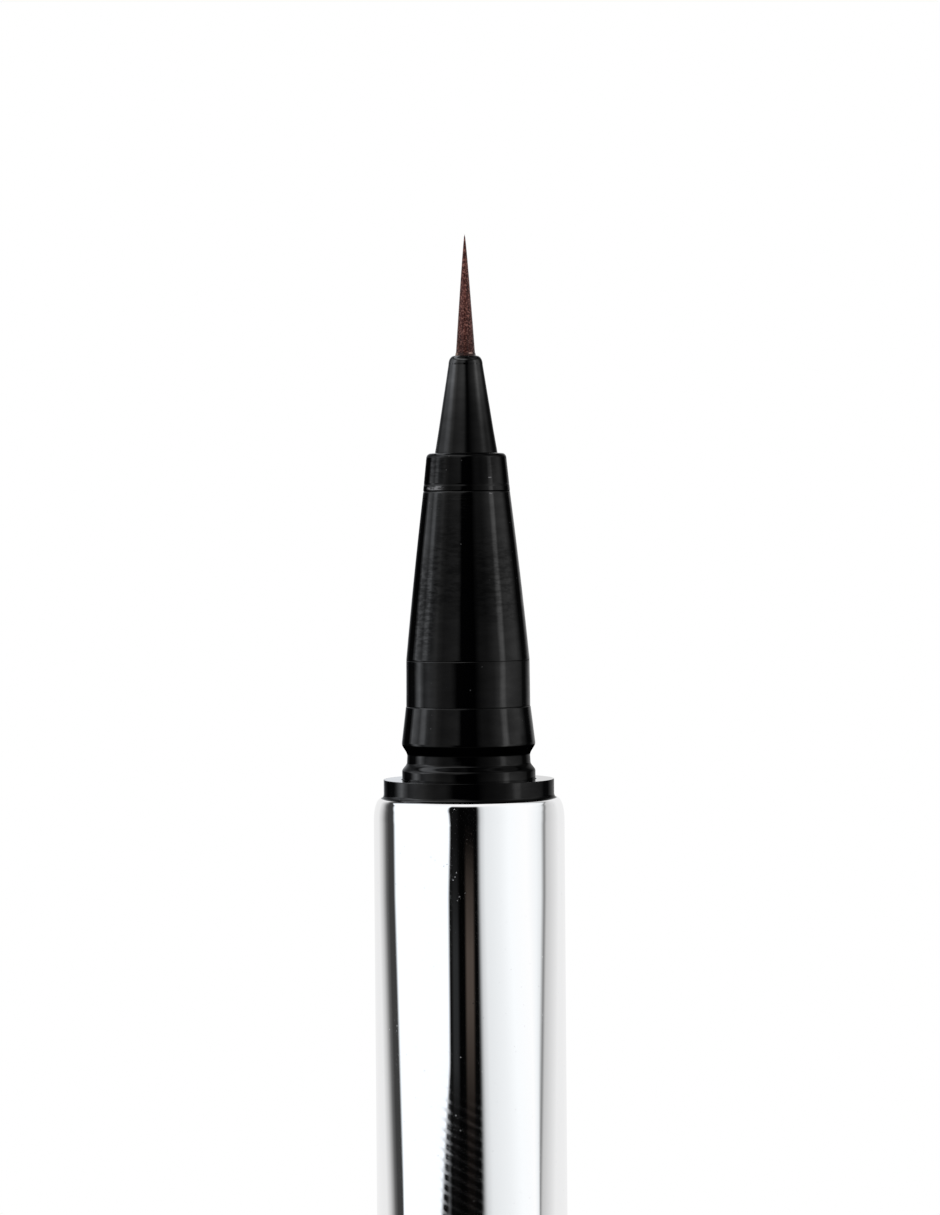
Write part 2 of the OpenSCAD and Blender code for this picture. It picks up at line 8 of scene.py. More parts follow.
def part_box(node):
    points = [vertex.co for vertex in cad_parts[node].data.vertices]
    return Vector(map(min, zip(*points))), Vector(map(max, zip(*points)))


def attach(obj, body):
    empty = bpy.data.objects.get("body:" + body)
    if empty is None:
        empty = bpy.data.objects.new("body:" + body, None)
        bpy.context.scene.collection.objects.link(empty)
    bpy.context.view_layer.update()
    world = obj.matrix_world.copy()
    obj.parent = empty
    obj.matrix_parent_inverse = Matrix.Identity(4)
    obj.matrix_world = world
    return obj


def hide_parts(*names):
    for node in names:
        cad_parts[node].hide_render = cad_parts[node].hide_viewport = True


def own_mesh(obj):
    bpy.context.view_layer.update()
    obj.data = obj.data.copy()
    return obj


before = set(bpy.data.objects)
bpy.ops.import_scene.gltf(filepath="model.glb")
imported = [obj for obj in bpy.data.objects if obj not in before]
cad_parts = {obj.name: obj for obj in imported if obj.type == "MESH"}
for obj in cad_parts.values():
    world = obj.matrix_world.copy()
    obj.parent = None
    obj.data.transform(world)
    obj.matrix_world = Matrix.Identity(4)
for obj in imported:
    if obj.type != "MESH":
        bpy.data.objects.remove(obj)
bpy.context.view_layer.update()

# All sizes are in metres, and MM turns the ones written in millimetres into metres.
MM = 0.001
SEGMENTS = 192
ARC_STEPS = 12
EASE_STEPS = 16
MERGE_WITHIN = 0.0004 * MM
HOLD = 0.06 * MM
HELD_TURN = math.radians(3)
SHORT_RUN = 4 * HOLD


# Sizes that the frame gives
sleeve_low, sleeve_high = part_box("barrel_sleeve")
barrel_r = sleeve_high.x
tail_z = sleeve_low.z
top_z = sleeve_high.z
collar_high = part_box("collar_ring")[1]
foot_r = collar_high.x
collar_h = collar_high.z - top_z
tank_low, tank_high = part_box("ink_tank")
tank_r = tank_high.x
grip_low_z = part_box("grip_section")[0].z
nozzle_low_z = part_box("nozzle_tip")[0].z
nozzle_top_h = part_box("nozzle_tip")[1].z - top_z
shank_low_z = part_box("brush_tuft")[0].z
brush_point_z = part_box("brush_tuft")[1].z
brush_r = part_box("brush_tuft")[1].x
post_low_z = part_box("tail_post")[0].z
post_high_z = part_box("tail_post")[1].z
cap_high_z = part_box("cap_shell")[1].z
liner_low, liner_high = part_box("cap_liner")
inner_cap_low, inner_cap_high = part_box("inner_cap")
seal_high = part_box("inner_cap_seal")[1]
seal_low_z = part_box("inner_cap_seal")[0].z

# The photo shows the black front and the brush this much fuller than the solids, and the parting line lower.
front_out = 0.035 * MM
parting_drop = 0.12 * MM
cone_top_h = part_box("grip_section")[1].z - top_z - parting_drop
parting_z = top_z + cone_top_h
nozzle_top_z = top_z + nozzle_top_h

# Barrel and collar
sleeve_wall = 0.47 * MM
edge_in = 0.41 * MM
edge_run = 1.25 * MM
collar_r = foot_r - 0.18 * MM
collar_foot_h = 0.26 * MM
collar_gap = 0.04 * MM
slip_gap = 0.03 * MM

# Neck, bead and lip that the cap clicks on
neck_r = barrel_r - 1.955 * MM
neck_h = 0.22 * MM
bead_out = 0.295 * MM
bead_land = 0.4 * MM
bead_rise = 0.68 * MM
lip_out = 0.3 * MM
lip_rise = 0.65 * MM
bead_r = neck_r + bead_out
lip_r = neck_r + lip_out
bead_top_h = collar_h + bead_land + bead_rise
neck_top_h = bead_top_h + neck_h
lip_h = neck_top_h + lip_rise
bead_soft_h = collar_h + 0.45 * MM
neck_flat_low_h = collar_h + 0.96 * MM
neck_flat_high_h = neck_top_h + 0.04 * MM
neck_draft = 0.02 * MM
lip_soft_h = lip_h + 0.12 * MM

# Grip
flare_top_h = lip_h + 2.18 * MM
flare_top_r = neck_r + 0.052 * MM
band_low_r = neck_r + 0.03 * MM
band_top_h = flare_top_h + 2.6 * MM
band_top_r = neck_r + 0.012 * MM
cone_top_r = 2.42 * MM
cone_swell = 0.035 * MM
grip_wall = 0.74 * MM
feed_bore_r = neck_r - grip_wall
parting_h = 0.045 * MM
parting_in = 0.022 * MM
groove_w = 0.03 * MM
groove_in = 0.018 * MM

# Nozzle
crown_h = 2.15 * MM
crown_top_r = 2.23 * MM
crown_round = 0.28 * MM
crown_line_h = 0.38 * MM
crown_line_in = 0.012 * MM
crown_line_w = 0.05 * MM
nozzle_base_r = 1.735 * MM
nozzle_foot_h = 1.3 * MM
nozzle_waist_r = 1.515 * MM
nozzle_tip_r = 0.935 * MM
nozzle_round_in = 0.33 * MM
nozzle_round_down = 0.5 * MM
stem_r = nozzle_base_r + 0.18 * MM
stem_lead = 0.2 * MM
guide_h = 2.4 * MM
brush_bore_r = brush_r + slip_gap
holder_top_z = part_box("brush_holder")[1].z
nozzle_bore_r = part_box("brush_holder")[1].x + slip_gap

# Tank plugs
plug_len = 8 * MM
plug_r = tank_r - 0.8 * MM - slip_gap
seal_groove_h = 1.1 * MM
seal_cord_d = 0.84 * MM
rest_gap = 0.02 * MM
groove_floor_r = plug_r + slip_gap - rest_gap - seal_cord_d - rest_gap

# Tail post
post_land = 0.5 * MM
post_nose_h = 1.8 * MM
post_nose_in = 0.5 * MM
post_end_t = 1.6 * MM
post_spigot_r = groove_floor_r - 1.25 * MM - slip_gap

# Cap
cap_round = 0.6 * MM
cap_crown_t = 0.5 * MM
mouth_round = 0.18 * MM
mouth_relief_h = 0.35 * MM
mouth_relief_r = foot_r + 0.045 * MM


def select_only(piece):
    bpy.ops.object.select_all(action="DESELECT")
    piece.select_set(True)
    bpy.context.view_layer.objects.active = piece


def new_circle(name, vertices, radius, **settings):
    """The circle that a form is drawn from, as the active object"""
    bpy.ops.object.select_all(action="DESELECT")
    bpy.ops.mesh.primitive_circle_add(vertices=vertices, radius=radius, **settings)
    bpy.ops.object.transform_apply()
    bpy.context.object.name = name
    return bpy.context.object


def pull_up(height):
    bpy.ops.mesh.extrude_region_move(TRANSFORM_OT_translate={"value": (0, 0, height)})


def scale_ring(share):
    bpy.ops.transform.resize(value=(share, share, 1), center_override=(0, 0, 0))


def close_form():
    """Turns the faces outward and leaves edit mode"""
    bpy.ops.mesh.normals_make_consistent(inside=False)
    bpy.ops.object.mode_set(mode="OBJECT")


def curve_from_axis(r, z, dr, dz):
    """Quarter of an ellipse from (r, z) to (r + dr, z + dz), which sets out along the axis"""
    angles = [math.pi / 2 * i / ARC_STEPS for i in range(ARC_STEPS + 1)]
    return [(r + dr * (1 - math.cos(a)), z + dz * math.sin(a)) for a in angles]


def curve_from_radius(r, z, dr, dz):
    """The same quarter, which sets out along the radius"""
    angles = [math.pi / 2 * i / ARC_STEPS for i in range(ARC_STEPS + 1)]
    return [(r + dr * math.sin(a), z + dz * (1 - math.cos(a))) for a in angles]


def eased(r, z, dr, dz):
    """Slope from (r, z) to (r + dr, z + dz), which sets out and arrives along the axis"""
    shares = [i / EASE_STEPS for i in range(EASE_STEPS + 1)]
    return [(r + dr * (1 - math.cos(math.pi * t)) / 2, z + dz * t) for t in shares]


def swollen(low, high, swell):
    """Straight line from low to high that swells by at most the given amount"""
    shares = [i / EASE_STEPS for i in range(EASE_STEPS + 1)]
    return [(low[0] + t * (high[0] - low[0]) + 4 * swell * t * (1 - t), low[1] + t * (high[1] - low[1]))
            for t in shares]


def raised(outline, z, out=0):
    return [(r + out, h + z) for r, h in outline]


def flipped(outline):
    return [(r, -h) for r, h in outline]


def close_on_axis():
    """Draws the ring that is selected in to a point on the axis"""
    pull_up(0)
    bpy.ops.mesh.merge(type="CENTER")


def held(outline, ends):
    """Adds a point close to each corner on the long runs beside it, which keeps the long faces straight"""
    points = []
    for index, place in enumerate(outline):
        point = Vector(place)
        runs = [Vector(outline[index - 1]) - point, Vector(outline[(index + 1) % len(outline)]) - point]
        if ends == "axis" and index in (0, len(outline) - 1):
            runs[min(index, 1)] = Vector((0, 0))
        turn = math.pi - runs[0].angle(runs[1], 0)
        before, after = (
            [tuple(point + run.normalized() * HOLD)] if turn > HELD_TURN and run.length > SHORT_RUN else []
            for run in runs)
        points += before + [place] + after
    return points


def turned(name, outline, ends="ring"):
    """Turns an outline of (radius, height) points about the pen's axis, ring by ring.

    Its ends meet each other with ends="ring", and close on the axis with ends="axis"."""
    outline = held(outline, ends)
    radius, height = outline[0]
    piece = new_circle(name, SEGMENTS, radius, location=(0, 0, height))
    bpy.ops.object.mode_set(mode="EDIT")
    rest = outline[1:] + ([outline[0]] if ends == "ring" else [])
    for next_radius, next_height in rest:
        pull_up(next_height - height)
        scale_ring(next_radius / radius)
        radius, height = next_radius, next_height
    if ends == "axis":
        close_on_axis()
        bpy.ops.mesh.select_all(action="DESELECT")
        bpy.ops.object.mode_set(mode="OBJECT")
        for vertex in piece.data.vertices[:SEGMENTS]:
            vertex.select = True
        bpy.ops.object.mode_set(mode="EDIT")
        close_on_axis()
    bpy.ops.mesh.select_all(action="SELECT")
    bpy.ops.mesh.remove_doubles(threshold=MERGE_WITHIN)
    close_form()
    return piece


def softened(piece, width, angle=24):
    """Rounds the edges that turn by more than the angle, and smooths the rest"""
    select_only(piece)
    bevel = piece.modifiers.new("soft_edges", "BEVEL")
    bevel.width = width
    bevel.segments = 3
    bevel.limit_method = "ANGLE"
    bevel.angle_limit = math.radians(angle)
    bpy.ops.object.modifier_apply(modifier=bevel.name)
    bpy.ops.object.shade_smooth_by_angle(angle=math.radians(40))
    weighted = piece.modifiers.new("even_normals", "WEIGHTED_NORMAL")
    weighted.keep_sharp = True
    bpy.ops.object.modifier_apply(modifier=weighted.name)
    return piece


# Node helpers
def empty_tree(owner):
    owner.use_nodes = True
    owner.node_tree.nodes.clear()
    return owner.node_tree


def feed(tree, value, socket):
    """Gives a socket another socket, a number, a triple or a colour"""
    if isinstance(value, bpy.types.NodeSocket):
        tree.links.new(value, socket)
    elif socket.type == "RGBA":
        socket.default_value = (*value, 1)
    else:
        socket.default_value = value


def feed_all(tree, sockets, **values):
    """Feeds sockets by name, with _ in place of each space"""
    for label, value in values.items():
        feed(tree, value, sockets[label.replace("_", " ")])


def add_node(tree, kind, inputs=None, output=0, **settings):
    """Adds a node, sets it, feeds its inputs by name or number, and returns one output"""
    node = tree.nodes.new(kind)
    for key, value in settings.items():
        setattr(node, key, value)
    for key, value in (inputs or {}).items():
        feed(tree, value, node.inputs[key])
    return node.outputs[output] if output is not None else node


def calc(tree, operation, *values):
    return add_node(tree, "ShaderNodeMath", dict(enumerate(values)), operation=operation)


def times(tree, a, b):
    return calc(tree, "MULTIPLY", a, b)


def smooth_step(tree, value, low, high, start=0.0, end=1.0):
    """Goes smoothly from start to end as the value goes from low to high"""
    return add_node(tree, "ShaderNodeMapRange", {
        "Value": value, "From Min": low, "From Max": high, "To Min": start, "To Max": end,
    }, "Result", interpolation_type="SMOOTHSTEP")


def window(tree, value, low, full, still_full, high):
    """1 between the two middle values, fading to 0 at the outer ones"""
    return times(tree, smooth_step(tree, value, low, full), smooth_step(tree, value, high, still_full))


def split_xyz(tree, vector):
    return add_node(tree, "ShaderNodeSeparateXYZ", {0: vector}, None).outputs


def mix_colour(tree, share, a, b):
    return add_node(tree, "ShaderNodeMix", {0: share, 6: a, 7: b}, 2, data_type="RGBA")


def mix_value(tree, share, a, b):
    return add_node(tree, "ShaderNodeMix", {0: share, 2: a, 3: b}, 0, data_type="FLOAT")


def ramp(tree, value, stops):
    """Colour or level of a list of (place, colour or level) stops, with places from 0 to 1"""
    node = add_node(tree, "ShaderNodeValToRGB", {0: value}, None)
    elements = node.color_ramp.elements
    elements.remove(elements[1])
    elements[0].position = stops[0][0]
    for place, colour in stops[1:]:
        elements.new(place)
    for element, (place, colour) in zip(elements, stops):
        element.color = (*(colour if isinstance(colour, tuple) else (colour,) * 3), 1)
    return node.outputs["Color"]


# Studio: the azimuth of a reflection is 0 towards the camera, and positive to the right.
# Each stop is an azimuth in degrees, a brightness, and a tint of red, green and blue.
PLAIN = (1, 1, 1)
COOL = (0.94, 0.985, 1.03)
BLUISH = (0.97, 0.995, 1.01)
BROWN = (1.25, 0.98, 0.82)
CARDS = [
    (-180, 0.9, PLAIN), (-142, 0.86, PLAIN), (-131, 0.6, PLAIN), (-120, 0.13, PLAIN), (-114, 0.05, PLAIN),
    (-104.3, 0.045, PLAIN), (-100.6, 1.13, COOL), (-26.5, 1.12, COOL), (-24, 0.006, PLAIN),
    (-11, 0.001, PLAIN), (9.5, 0.002, PLAIN), (13.5, 0.65, BLUISH), (19, 0.85, BLUISH), (36, 0.94, BLUISH),
    (48, 1.04, BLUISH), (72, 1.05, PLAIN), (88, 0.98, BLUISH), (96, 0.86, BLUISH), (102, 0.2, PLAIN),
    (107, 0.58, PLAIN), (118, 0.7, PLAIN), (137, 0.88, PLAIN), (180, 0.9, PLAIN),
]
# How much further out the cards and the two edges of the dark gap lie, by elevation in degrees
OUTER_FADE = 74, 92
OUTER_STRETCH = [(-9, 0.875), (-4.8, 1), (3, 1.01), (10, 1.03), (20, 1.1), (26, 1.14), (32, 1.3)]
LEFT_STRETCH = [
    (-9, 1.5), (-7, 1), (-4.6, 1.01), (-4.1, 0.91), (3, 0.93), (10, 0.95), (20, 1), (28, 1.08), (47, 1.2)]
RIGHT_STRETCH = [(-9, 1.36), (-4.8, 1), (20, 1.05), (47, 1.2)]
# Glows on the cards, each between two azimuths, with a tint and its brightness by elevation
GLOW_EDGE = 2
GLOWS = [
    (-5, 4.5, BROWN, [(-9, 0.001), (-7.5, 0.003), (-7, 0.03), (-5.9, 0.07), (-4.85, 0.032), (-4.2, 0)]),
    (-21, -14, COOL, [(-7.4, 0.001), (-7, 0.022), (-5.3, 0.022), (-4.7, 0.002)]),
    (-28.5, -25.5, COOL, [(-9, 0.06), (-7.6, 0.05), (-7.1, 0)]),
]
# Softer cards for the sharp gloss of the black mouldings, in rows of (azimuth, brightness). The row depends
# on how far a face leans back: on the elevation that its reflection has at the middle of the pen.
LOW_CARDS = [
    (-172, 1.0), (-158, 0.15), (-143, 0.01), (-121, 0.05), (-116, 0.4), (-110, 1.5), (-103, 2.7), (-97, 1.5),
    (-90, 0.6), (-79, 1.0), (-64, 0.82), (-57, 0.52), (-48, 0.38), (-33, 0.37), (-27, 0.22), (-20.5, 0.01),
    (12, 0), (16, 0.07), (24, 0.2), (37, 0.33), (50, 0.5), (60, 1.05), (66, 2.6), (71, 2.6), (76, 1.3),
    (90, 0.9), (102, 0.65), (115, 0.35), (122, 0.06), (134, 0.05), (158, 0.8), (174, 1.1),
]
MIDDLE_CARDS = [
    (-158, 0.1), (-145, 0.01), (-127, 0.02), (-120, 0.7), (-117, 1.7), (-107, 1.5), (-98, 1.0), (-92, 2.3),
    (-86.5, 2.6), (-81, 1.0), (-75, 0.72), (-64, 0.88), (-57, 0.52), (-48, 0.34), (-21, 0.5), (-17, 0.35),
    (-12.5, 0.01), (13, 0), (16.5, 0.09), (24, 0.23), (37, 0.27), (46, 0.45), (60, 0.85), (66, 2.5),
    (71.5, 2.8), (77, 0.9), (95, 1.0), (104, 0.9), (118, 0.2), (125, 0.03), (142, 0.02), (158, 0.8),
]
HIGH_CARDS = [
    (-172, 1.1), (-158, 0.5), (-143, 0.2), (-132, 0.35), (-123, 0.9), (-108, 1.4), (-99, 1.8), (-90, 2.9),
    (-80, 3.1), (-74, 2.5), (-66, 1.4), (-51, 0.72), (-24, 1.0), (-12, 0.88), (-6, 0.55), (-2, 0.25),
    (5, 0.03), (11, 0.04), (20, 0.17), (37, 0.4), (50, 0.58), (57, 0.95), (65, 1.7), (71, 2.2), (78, 1.8),
    (86, 1.1), (102, 0.75), (112, 0.35), (123, 0.1), (143, 0.06), (158, 0.5), (172, 1.1),
]
# Each row gives way to the next between two elevations.
LOW_TO_MIDDLE = 2, 7
MIDDLE_TO_HIGH = 14, 16
# Above the cards the gloss sees dark, with one lamp between two elevations that fades out to the right
GLOSS_DARK_FADE = 28, 38
GLOSS_DARK = 0.2
LAMP_ELEVATIONS = 36, 42, 52, 58
LAMP_AZIMUTHS = 30, -20
LAMP_RIGHT, LAMP_LEFT = 0.2, 2.2
LEAST_ASIDE = 0.15
GLOSS_TINT = (0.965, 0.995, 1.04)
GLOSS_TINT_FADE = -85, -55
# The polished metal sees a white ceiling, which comes in between these two elevations.
CEILING_FADE = 50, 62
CEILING = (1, 1, 1)
AMBIENT = (0.8, 0.8, 0.8)


def by_angle(tree, angle, stops, span=360):
    """Colour or level of a list of (degrees, colour or level) stops, which reach half a span to each side"""
    place = calc(tree, "MULTIPLY_ADD", angle, 1 / span, 0.5)
    return ramp(tree, place, [(degrees / span + 0.5, level) for degrees, level in stops])


def azimuth_of(tree, x, y):
    return calc(tree, "DEGREES", calc(tree, "ARCTAN2", x, times(tree, y, -1)))


def gloss_cards(tree, azimuth, elevation):
    """What the sharp gloss of the black mouldings shows"""
    low, middle, high = (by_angle(tree, azimuth, row) for row in (LOW_CARDS, MIDDLE_CARDS, HIGH_CARDS))
    aside = calc(tree, "COSINE", calc(tree, "RADIANS", times(tree, azimuth, 0.5)))
    lean = calc(tree, "DIVIDE", elevation, calc(tree, "MAXIMUM", aside, LEAST_ASIDE))
    cards = mix_colour(tree, smooth_step(tree, lean, *LOW_TO_MIDDLE), low, middle)
    cards = mix_colour(tree, smooth_step(tree, lean, *MIDDLE_TO_HIGH), cards, high)
    dark = smooth_step(tree, elevation, *GLOSS_DARK_FADE, 1, GLOSS_DARK)
    lamp = times(
        tree, window(tree, elevation, *LAMP_ELEVATIONS),
        smooth_step(tree, azimuth, *LAMP_AZIMUTHS, LAMP_RIGHT, LAMP_LEFT))
    cards = add_node(tree, "ShaderNodeVectorMath", {0: cards, "Scale": dark}, operation="SCALE")
    cards = add_node(tree, "ShaderNodeVectorMath", {0: cards, 1: lamp}, operation="ADD")
    tint = mix_colour(tree, smooth_step(tree, azimuth, *GLOSS_TINT_FADE), GLOSS_TINT, PLAIN)
    return add_node(tree, "ShaderNodeVectorMath", {0: cards, 1: tint}, operation="MULTIPLY")


def studio_world():
    world = bpy.data.worlds.new("studio")
    bpy.context.scene.world = world
    tree = empty_tree(world)
    ray = add_node(tree, "ShaderNodeTexCoord", output="Generated")
    x, y, z = split_xyz(tree, ray)
    azimuth = azimuth_of(tree, x, y)
    elevation = calc(tree, "DEGREES", calc(tree, "ARCSINE", z))

    left, right, outer = (
        by_angle(tree, elevation, stops, 180) for stops in (LEFT_STRETCH, RIGHT_STRETCH, OUTER_STRETCH))
    inner = mix_value(tree, calc(tree, "LESS_THAN", azimuth, 0), right, left)
    outward = smooth_step(tree, calc(tree, "ABSOLUTE", azimuth), *OUTER_FADE)
    card_azimuth = calc(tree, "DIVIDE", azimuth, mix_value(tree, outward, inner, outer))
    cards = by_angle(tree, card_azimuth, [(az, tuple(level * t for t in tint)) for az, level, tint in CARDS])
    for low, high, tint, levels in GLOWS:
        lit = window(tree, azimuth, low - GLOW_EDGE, low + GLOW_EDGE, high - GLOW_EDGE, high + GLOW_EDGE)
        glow = add_node(tree, "ShaderNodeVectorMath", {
            0: tint, "Scale": times(tree, lit, by_angle(tree, elevation, levels, 180)),
        }, operation="SCALE")
        cards = add_node(tree, "ShaderNodeVectorMath", {0: cards, 1: glow}, operation="ADD")
    path = add_node(tree, "ShaderNodeLightPath", output=None)
    cards = mix_colour(tree, smooth_step(tree, elevation, *CEILING_FADE), cards, CEILING)
    gloss = gloss_cards(tree, azimuth, elevation)
    reflected = mix_colour(tree, path.outputs["Is Singular Ray"], cards, gloss)
    glossy = calc(tree, "MAXIMUM", path.outputs["Is Glossy Ray"], path.outputs["Is Transmission Ray"])
    seen = mix_colour(tree, glossy, AMBIENT, reflected)
    seen = mix_colour(tree, path.outputs["Is Camera Ray"], seen, (1, 1, 1))
    background = add_node(tree, "ShaderNodeBackground", {"Color": seen})
    add_node(tree, "ShaderNodeOutputWorld", {"Surface": background}, None)


# Camera: it stands level in front of the grip and looks a little down, as the photograph was taken.
PHOTO_WIDTH, PHOTO_HEIGHT = 940, 1215
MM_PER_PIXEL = 0.05654 * MM
CAMERA_DISTANCE = 260 * MM
SENSOR = 36
HORIZON_PIXEL = 500
COLLAR_PIXEL = 798
AXIS_PIXEL = 467.5
ROLL = 0.45


def photo_camera():
    data = bpy.data.cameras.new("photo_camera")
    camera = bpy.data.objects.new("photo_camera", data)
    bpy.context.scene.collection.objects.link(camera)
    bpy.context.scene.camera = camera
    data.sensor_width = SENSOR
    data.lens = SENSOR * CAMERA_DISTANCE / (PHOTO_HEIGHT * MM_PER_PIXEL)
    middle_z = top_z + (COLLAR_PIXEL - PHOTO_HEIGHT / 2) * MM_PER_PIXEL
    camera_z = top_z + (COLLAR_PIXEL - HORIZON_PIXEL) * MM_PER_PIXEL
    aside = (PHOTO_WIDTH / 2 - AXIS_PIXEL) * MM_PER_PIXEL
    camera.location = (aside, -CAMERA_DISTANCE, camera_z)
    look = Vector((aside, 0, middle_z)) - camera.location
    turn = look.to_track_quat("-Z", "Y").to_matrix().to_4x4()
    camera.matrix_world = (
        Matrix.Translation(camera.location) @ turn @ Matrix.Rotation(math.radians(-ROLL), 4, "Z"))
    data.clip_start = 0.01


# Floor and light
FLOOR_RADIUS = 350 * MM
FLOOR_COLOUR = (0.86, 0.86, 0.86)
FLOOR_FADE = FLOOR_RADIUS * 0.45, FLOOR_RADIUS * 0.97
LAMP_SIZE = 0.5
LAMP_PLACE = (-0.45, -0.35, 0.9)
LAMP_WATTS = 4.2


def pale_floor():
    """A pale disc that fades into the white behind it and keeps the pen's shadow"""
    floor = new_circle("floor", 96, FLOOR_RADIUS, fill_type="NGON")
    material = bpy.data.materials.new("pale_floor")
    tree = empty_tree(material)
    place = add_node(tree, "ShaderNodeTexCoord", output="Object")
    far = add_node(tree, "ShaderNodeVectorMath", {0: place}, "Value", operation="LENGTH")
    fade = smooth_step(tree, far, *FLOOR_FADE)
    below = add_node(tree, "ShaderNodeNewGeometry", output="Backfacing")
    matt = add_node(tree, "ShaderNodeBsdfDiffuse", {"Color": FLOOR_COLOUR})
    through = add_node(tree, "ShaderNodeBsdfTransparent")
    mix = add_node(tree, "ShaderNodeMixShader", {0: calc(tree, "MAXIMUM", fade, below), 1: matt, 2: through})
    add_node(tree, "ShaderNodeOutputMaterial", {"Surface": mix}, None)
    floor.data.materials.append(material)


def soft_lamp():
    data = bpy.data.lights.new("soft_lamp", "AREA")
    data.shape = "DISK"
    data.size = LAMP_SIZE
    data.energy = LAMP_WATTS
    lamp = bpy.data.objects.new("soft_lamp", data)
    bpy.context.scene.collection.objects.link(lamp)
    lamp.location = LAMP_PLACE
    aim = Vector((0, 0, top_z / 2)) - lamp.location
    lamp.rotation_mode = "QUATERNION"
    lamp.rotation_quaternion = aim.to_track_quat("-Z", "Y")
    lamp.visible_glossy = False
    lamp.visible_camera = False


bpy.context.scene.view_settings.view_transform = "Standard"
photo_camera()
studio_world()
pale_floor()
soft_lamp()


# Outlines that pieces share
def click_outline():
    """Bead, neck and lip, from the barrel's edge up"""
    return (
        [(bead_r, 0)]
        + eased(bead_r, bead_soft_h, neck_draft - bead_out, neck_flat_low_h - bead_soft_h)
        + eased(neck_r, neck_flat_high_h, lip_out, lip_soft_h - neck_flat_high_h))


def collar_outline():
    return (
        curve_from_radius(foot_r, 0, collar_r - foot_r, collar_foot_h)
        + [(collar_r, collar_h), (bead_r + collar_gap, collar_h), (bead_r + collar_gap, 0)])


def seal_groove(z):
    half = seal_groove_h / 2
    return [(plug_r, z - half), (groove_floor_r, z - half), (groove_floor_r, z + half), (plug_r, z + half)]


def make_barrel():
    bore_r = barrel_r - sleeve_wall
    return softened(turned("barrel_tube", (
        [(bore_r, tail_z)]
        + curve_from_radius(barrel_r - edge_in, tail_z, edge_in, edge_run)
        + curve_from_axis(barrel_r, top_z - edge_run, -edge_in, edge_run)
        + [(bore_r, top_z)])), 0.015 * MM)


def make_cap_can():
    bore_r = barrel_r - sleeve_wall
    return softened(turned("cap_can", (
        curve_from_radius(barrel_r - cap_round, 0, cap_round, cap_round)
        + curve_from_axis(barrel_r, cap_high_z - mouth_round, -mouth_round, mouth_round)
        + [(mouth_relief_r, cap_high_z), (mouth_relief_r, cap_high_z - mouth_relief_h)]
        + [(bore_r, cap_high_z - mouth_relief_h), (bore_r, cap_crown_t)]), ends="axis"), 0.02 * MM)


def make_collars():
    front = softened(turned("front_collar", raised(collar_outline(), top_z, front_out)), 0.03 * MM)
    tail = softened(turned("tail_collar", raised(flipped(collar_outline()), tail_z)), 0.03 * MM)
    return front, tail


def make_grip():
    plug_low_z = tank_high.z - plug_len
    guide_r = stem_r + slip_gap
    cone = swollen((band_top_r, band_top_h + groove_w), (cone_top_r, cone_top_h - parting_h), cone_swell)
    outline = (
        [(feed_bore_r, grip_low_z), (neck_r, grip_low_z), (neck_r, plug_low_z), (plug_r, plug_low_z)]
        + seal_groove(plug_low_z + plug_len / 2)
        + [(plug_r, tank_high.z), (tank_r, tank_high.z), (tank_r, top_z)]
        + raised(click_outline(), top_z, front_out)
        + raised([
            (flare_top_r, flare_top_h - groove_w), (band_low_r - groove_in, flare_top_h),
            (band_low_r, flare_top_h + groove_w), (band_top_r, band_top_h - groove_w),
            (band_top_r - groove_in, band_top_h), *cone], top_z, front_out)
        + [(cone_top_r + front_out - parting_in, parting_z), (guide_r, parting_z)]
        + [(guide_r, nozzle_low_z - guide_h), (feed_bore_r, top_z + band_top_h)])
    return softened(turned("grip", outline), 0.015 * MM, angle=20)


def crown_side(height):
    """Radius of the crown's straight side at a height above its foot"""
    share = (height - parting_h) / (crown_h - crown_round - parting_h)
    return cone_top_r + (crown_top_r - cone_top_r) * share


def make_nozzle():
    crown_top_z = parting_z + crown_h
    line = [(-crown_line_w, 0), (0, crown_line_in), (crown_line_w, 0)]
    crown_line = [(crown_side(crown_line_h + up) - deep, crown_line_h + up) for up, deep in line]
    outline = (
        [
            (nozzle_bore_r, nozzle_low_z), (stem_r - stem_lead, nozzle_low_z),
            (stem_r, nozzle_low_z + stem_lead), (stem_r, parting_z),
            (cone_top_r + front_out - parting_in, parting_z), (cone_top_r + front_out, parting_z + parting_h),
        ]
        + raised(crown_line, parting_z, front_out)
        + curve_from_axis(crown_top_r + front_out, crown_top_z - crown_round, -crown_round, crown_round)
        + raised([(nozzle_base_r, 0), (nozzle_waist_r, nozzle_foot_h)], crown_top_z, front_out)
        + curve_from_axis(
            nozzle_tip_r + front_out, nozzle_top_z - nozzle_round_down, -nozzle_round_in, nozzle_round_down)
        + [(brush_bore_r, nozzle_top_z), (brush_bore_r, holder_top_z), (nozzle_bore_r, holder_top_z)])
    return softened(turned("nozzle", outline), 0.02 * MM)


def make_post():
    nose_h = lip_h + post_land
    core_r = neck_r - grip_wall
    core_top_z = tank_low.z - post_end_t
    outline = (
        [(post_spigot_r, post_high_z), (post_spigot_r, tank_low.z), (tank_r, tank_low.z), (tank_r, tail_z)]
        + raised(flipped(click_outline()), tail_z)
        + raised(flipped(curve_from_axis(lip_r, nose_h, -post_nose_in, post_nose_h)), tail_z)
        + [(core_r, post_low_z), (core_r, core_top_z)])
    return softened(turned("posting_end", outline, ends="axis"), 0.03 * MM)


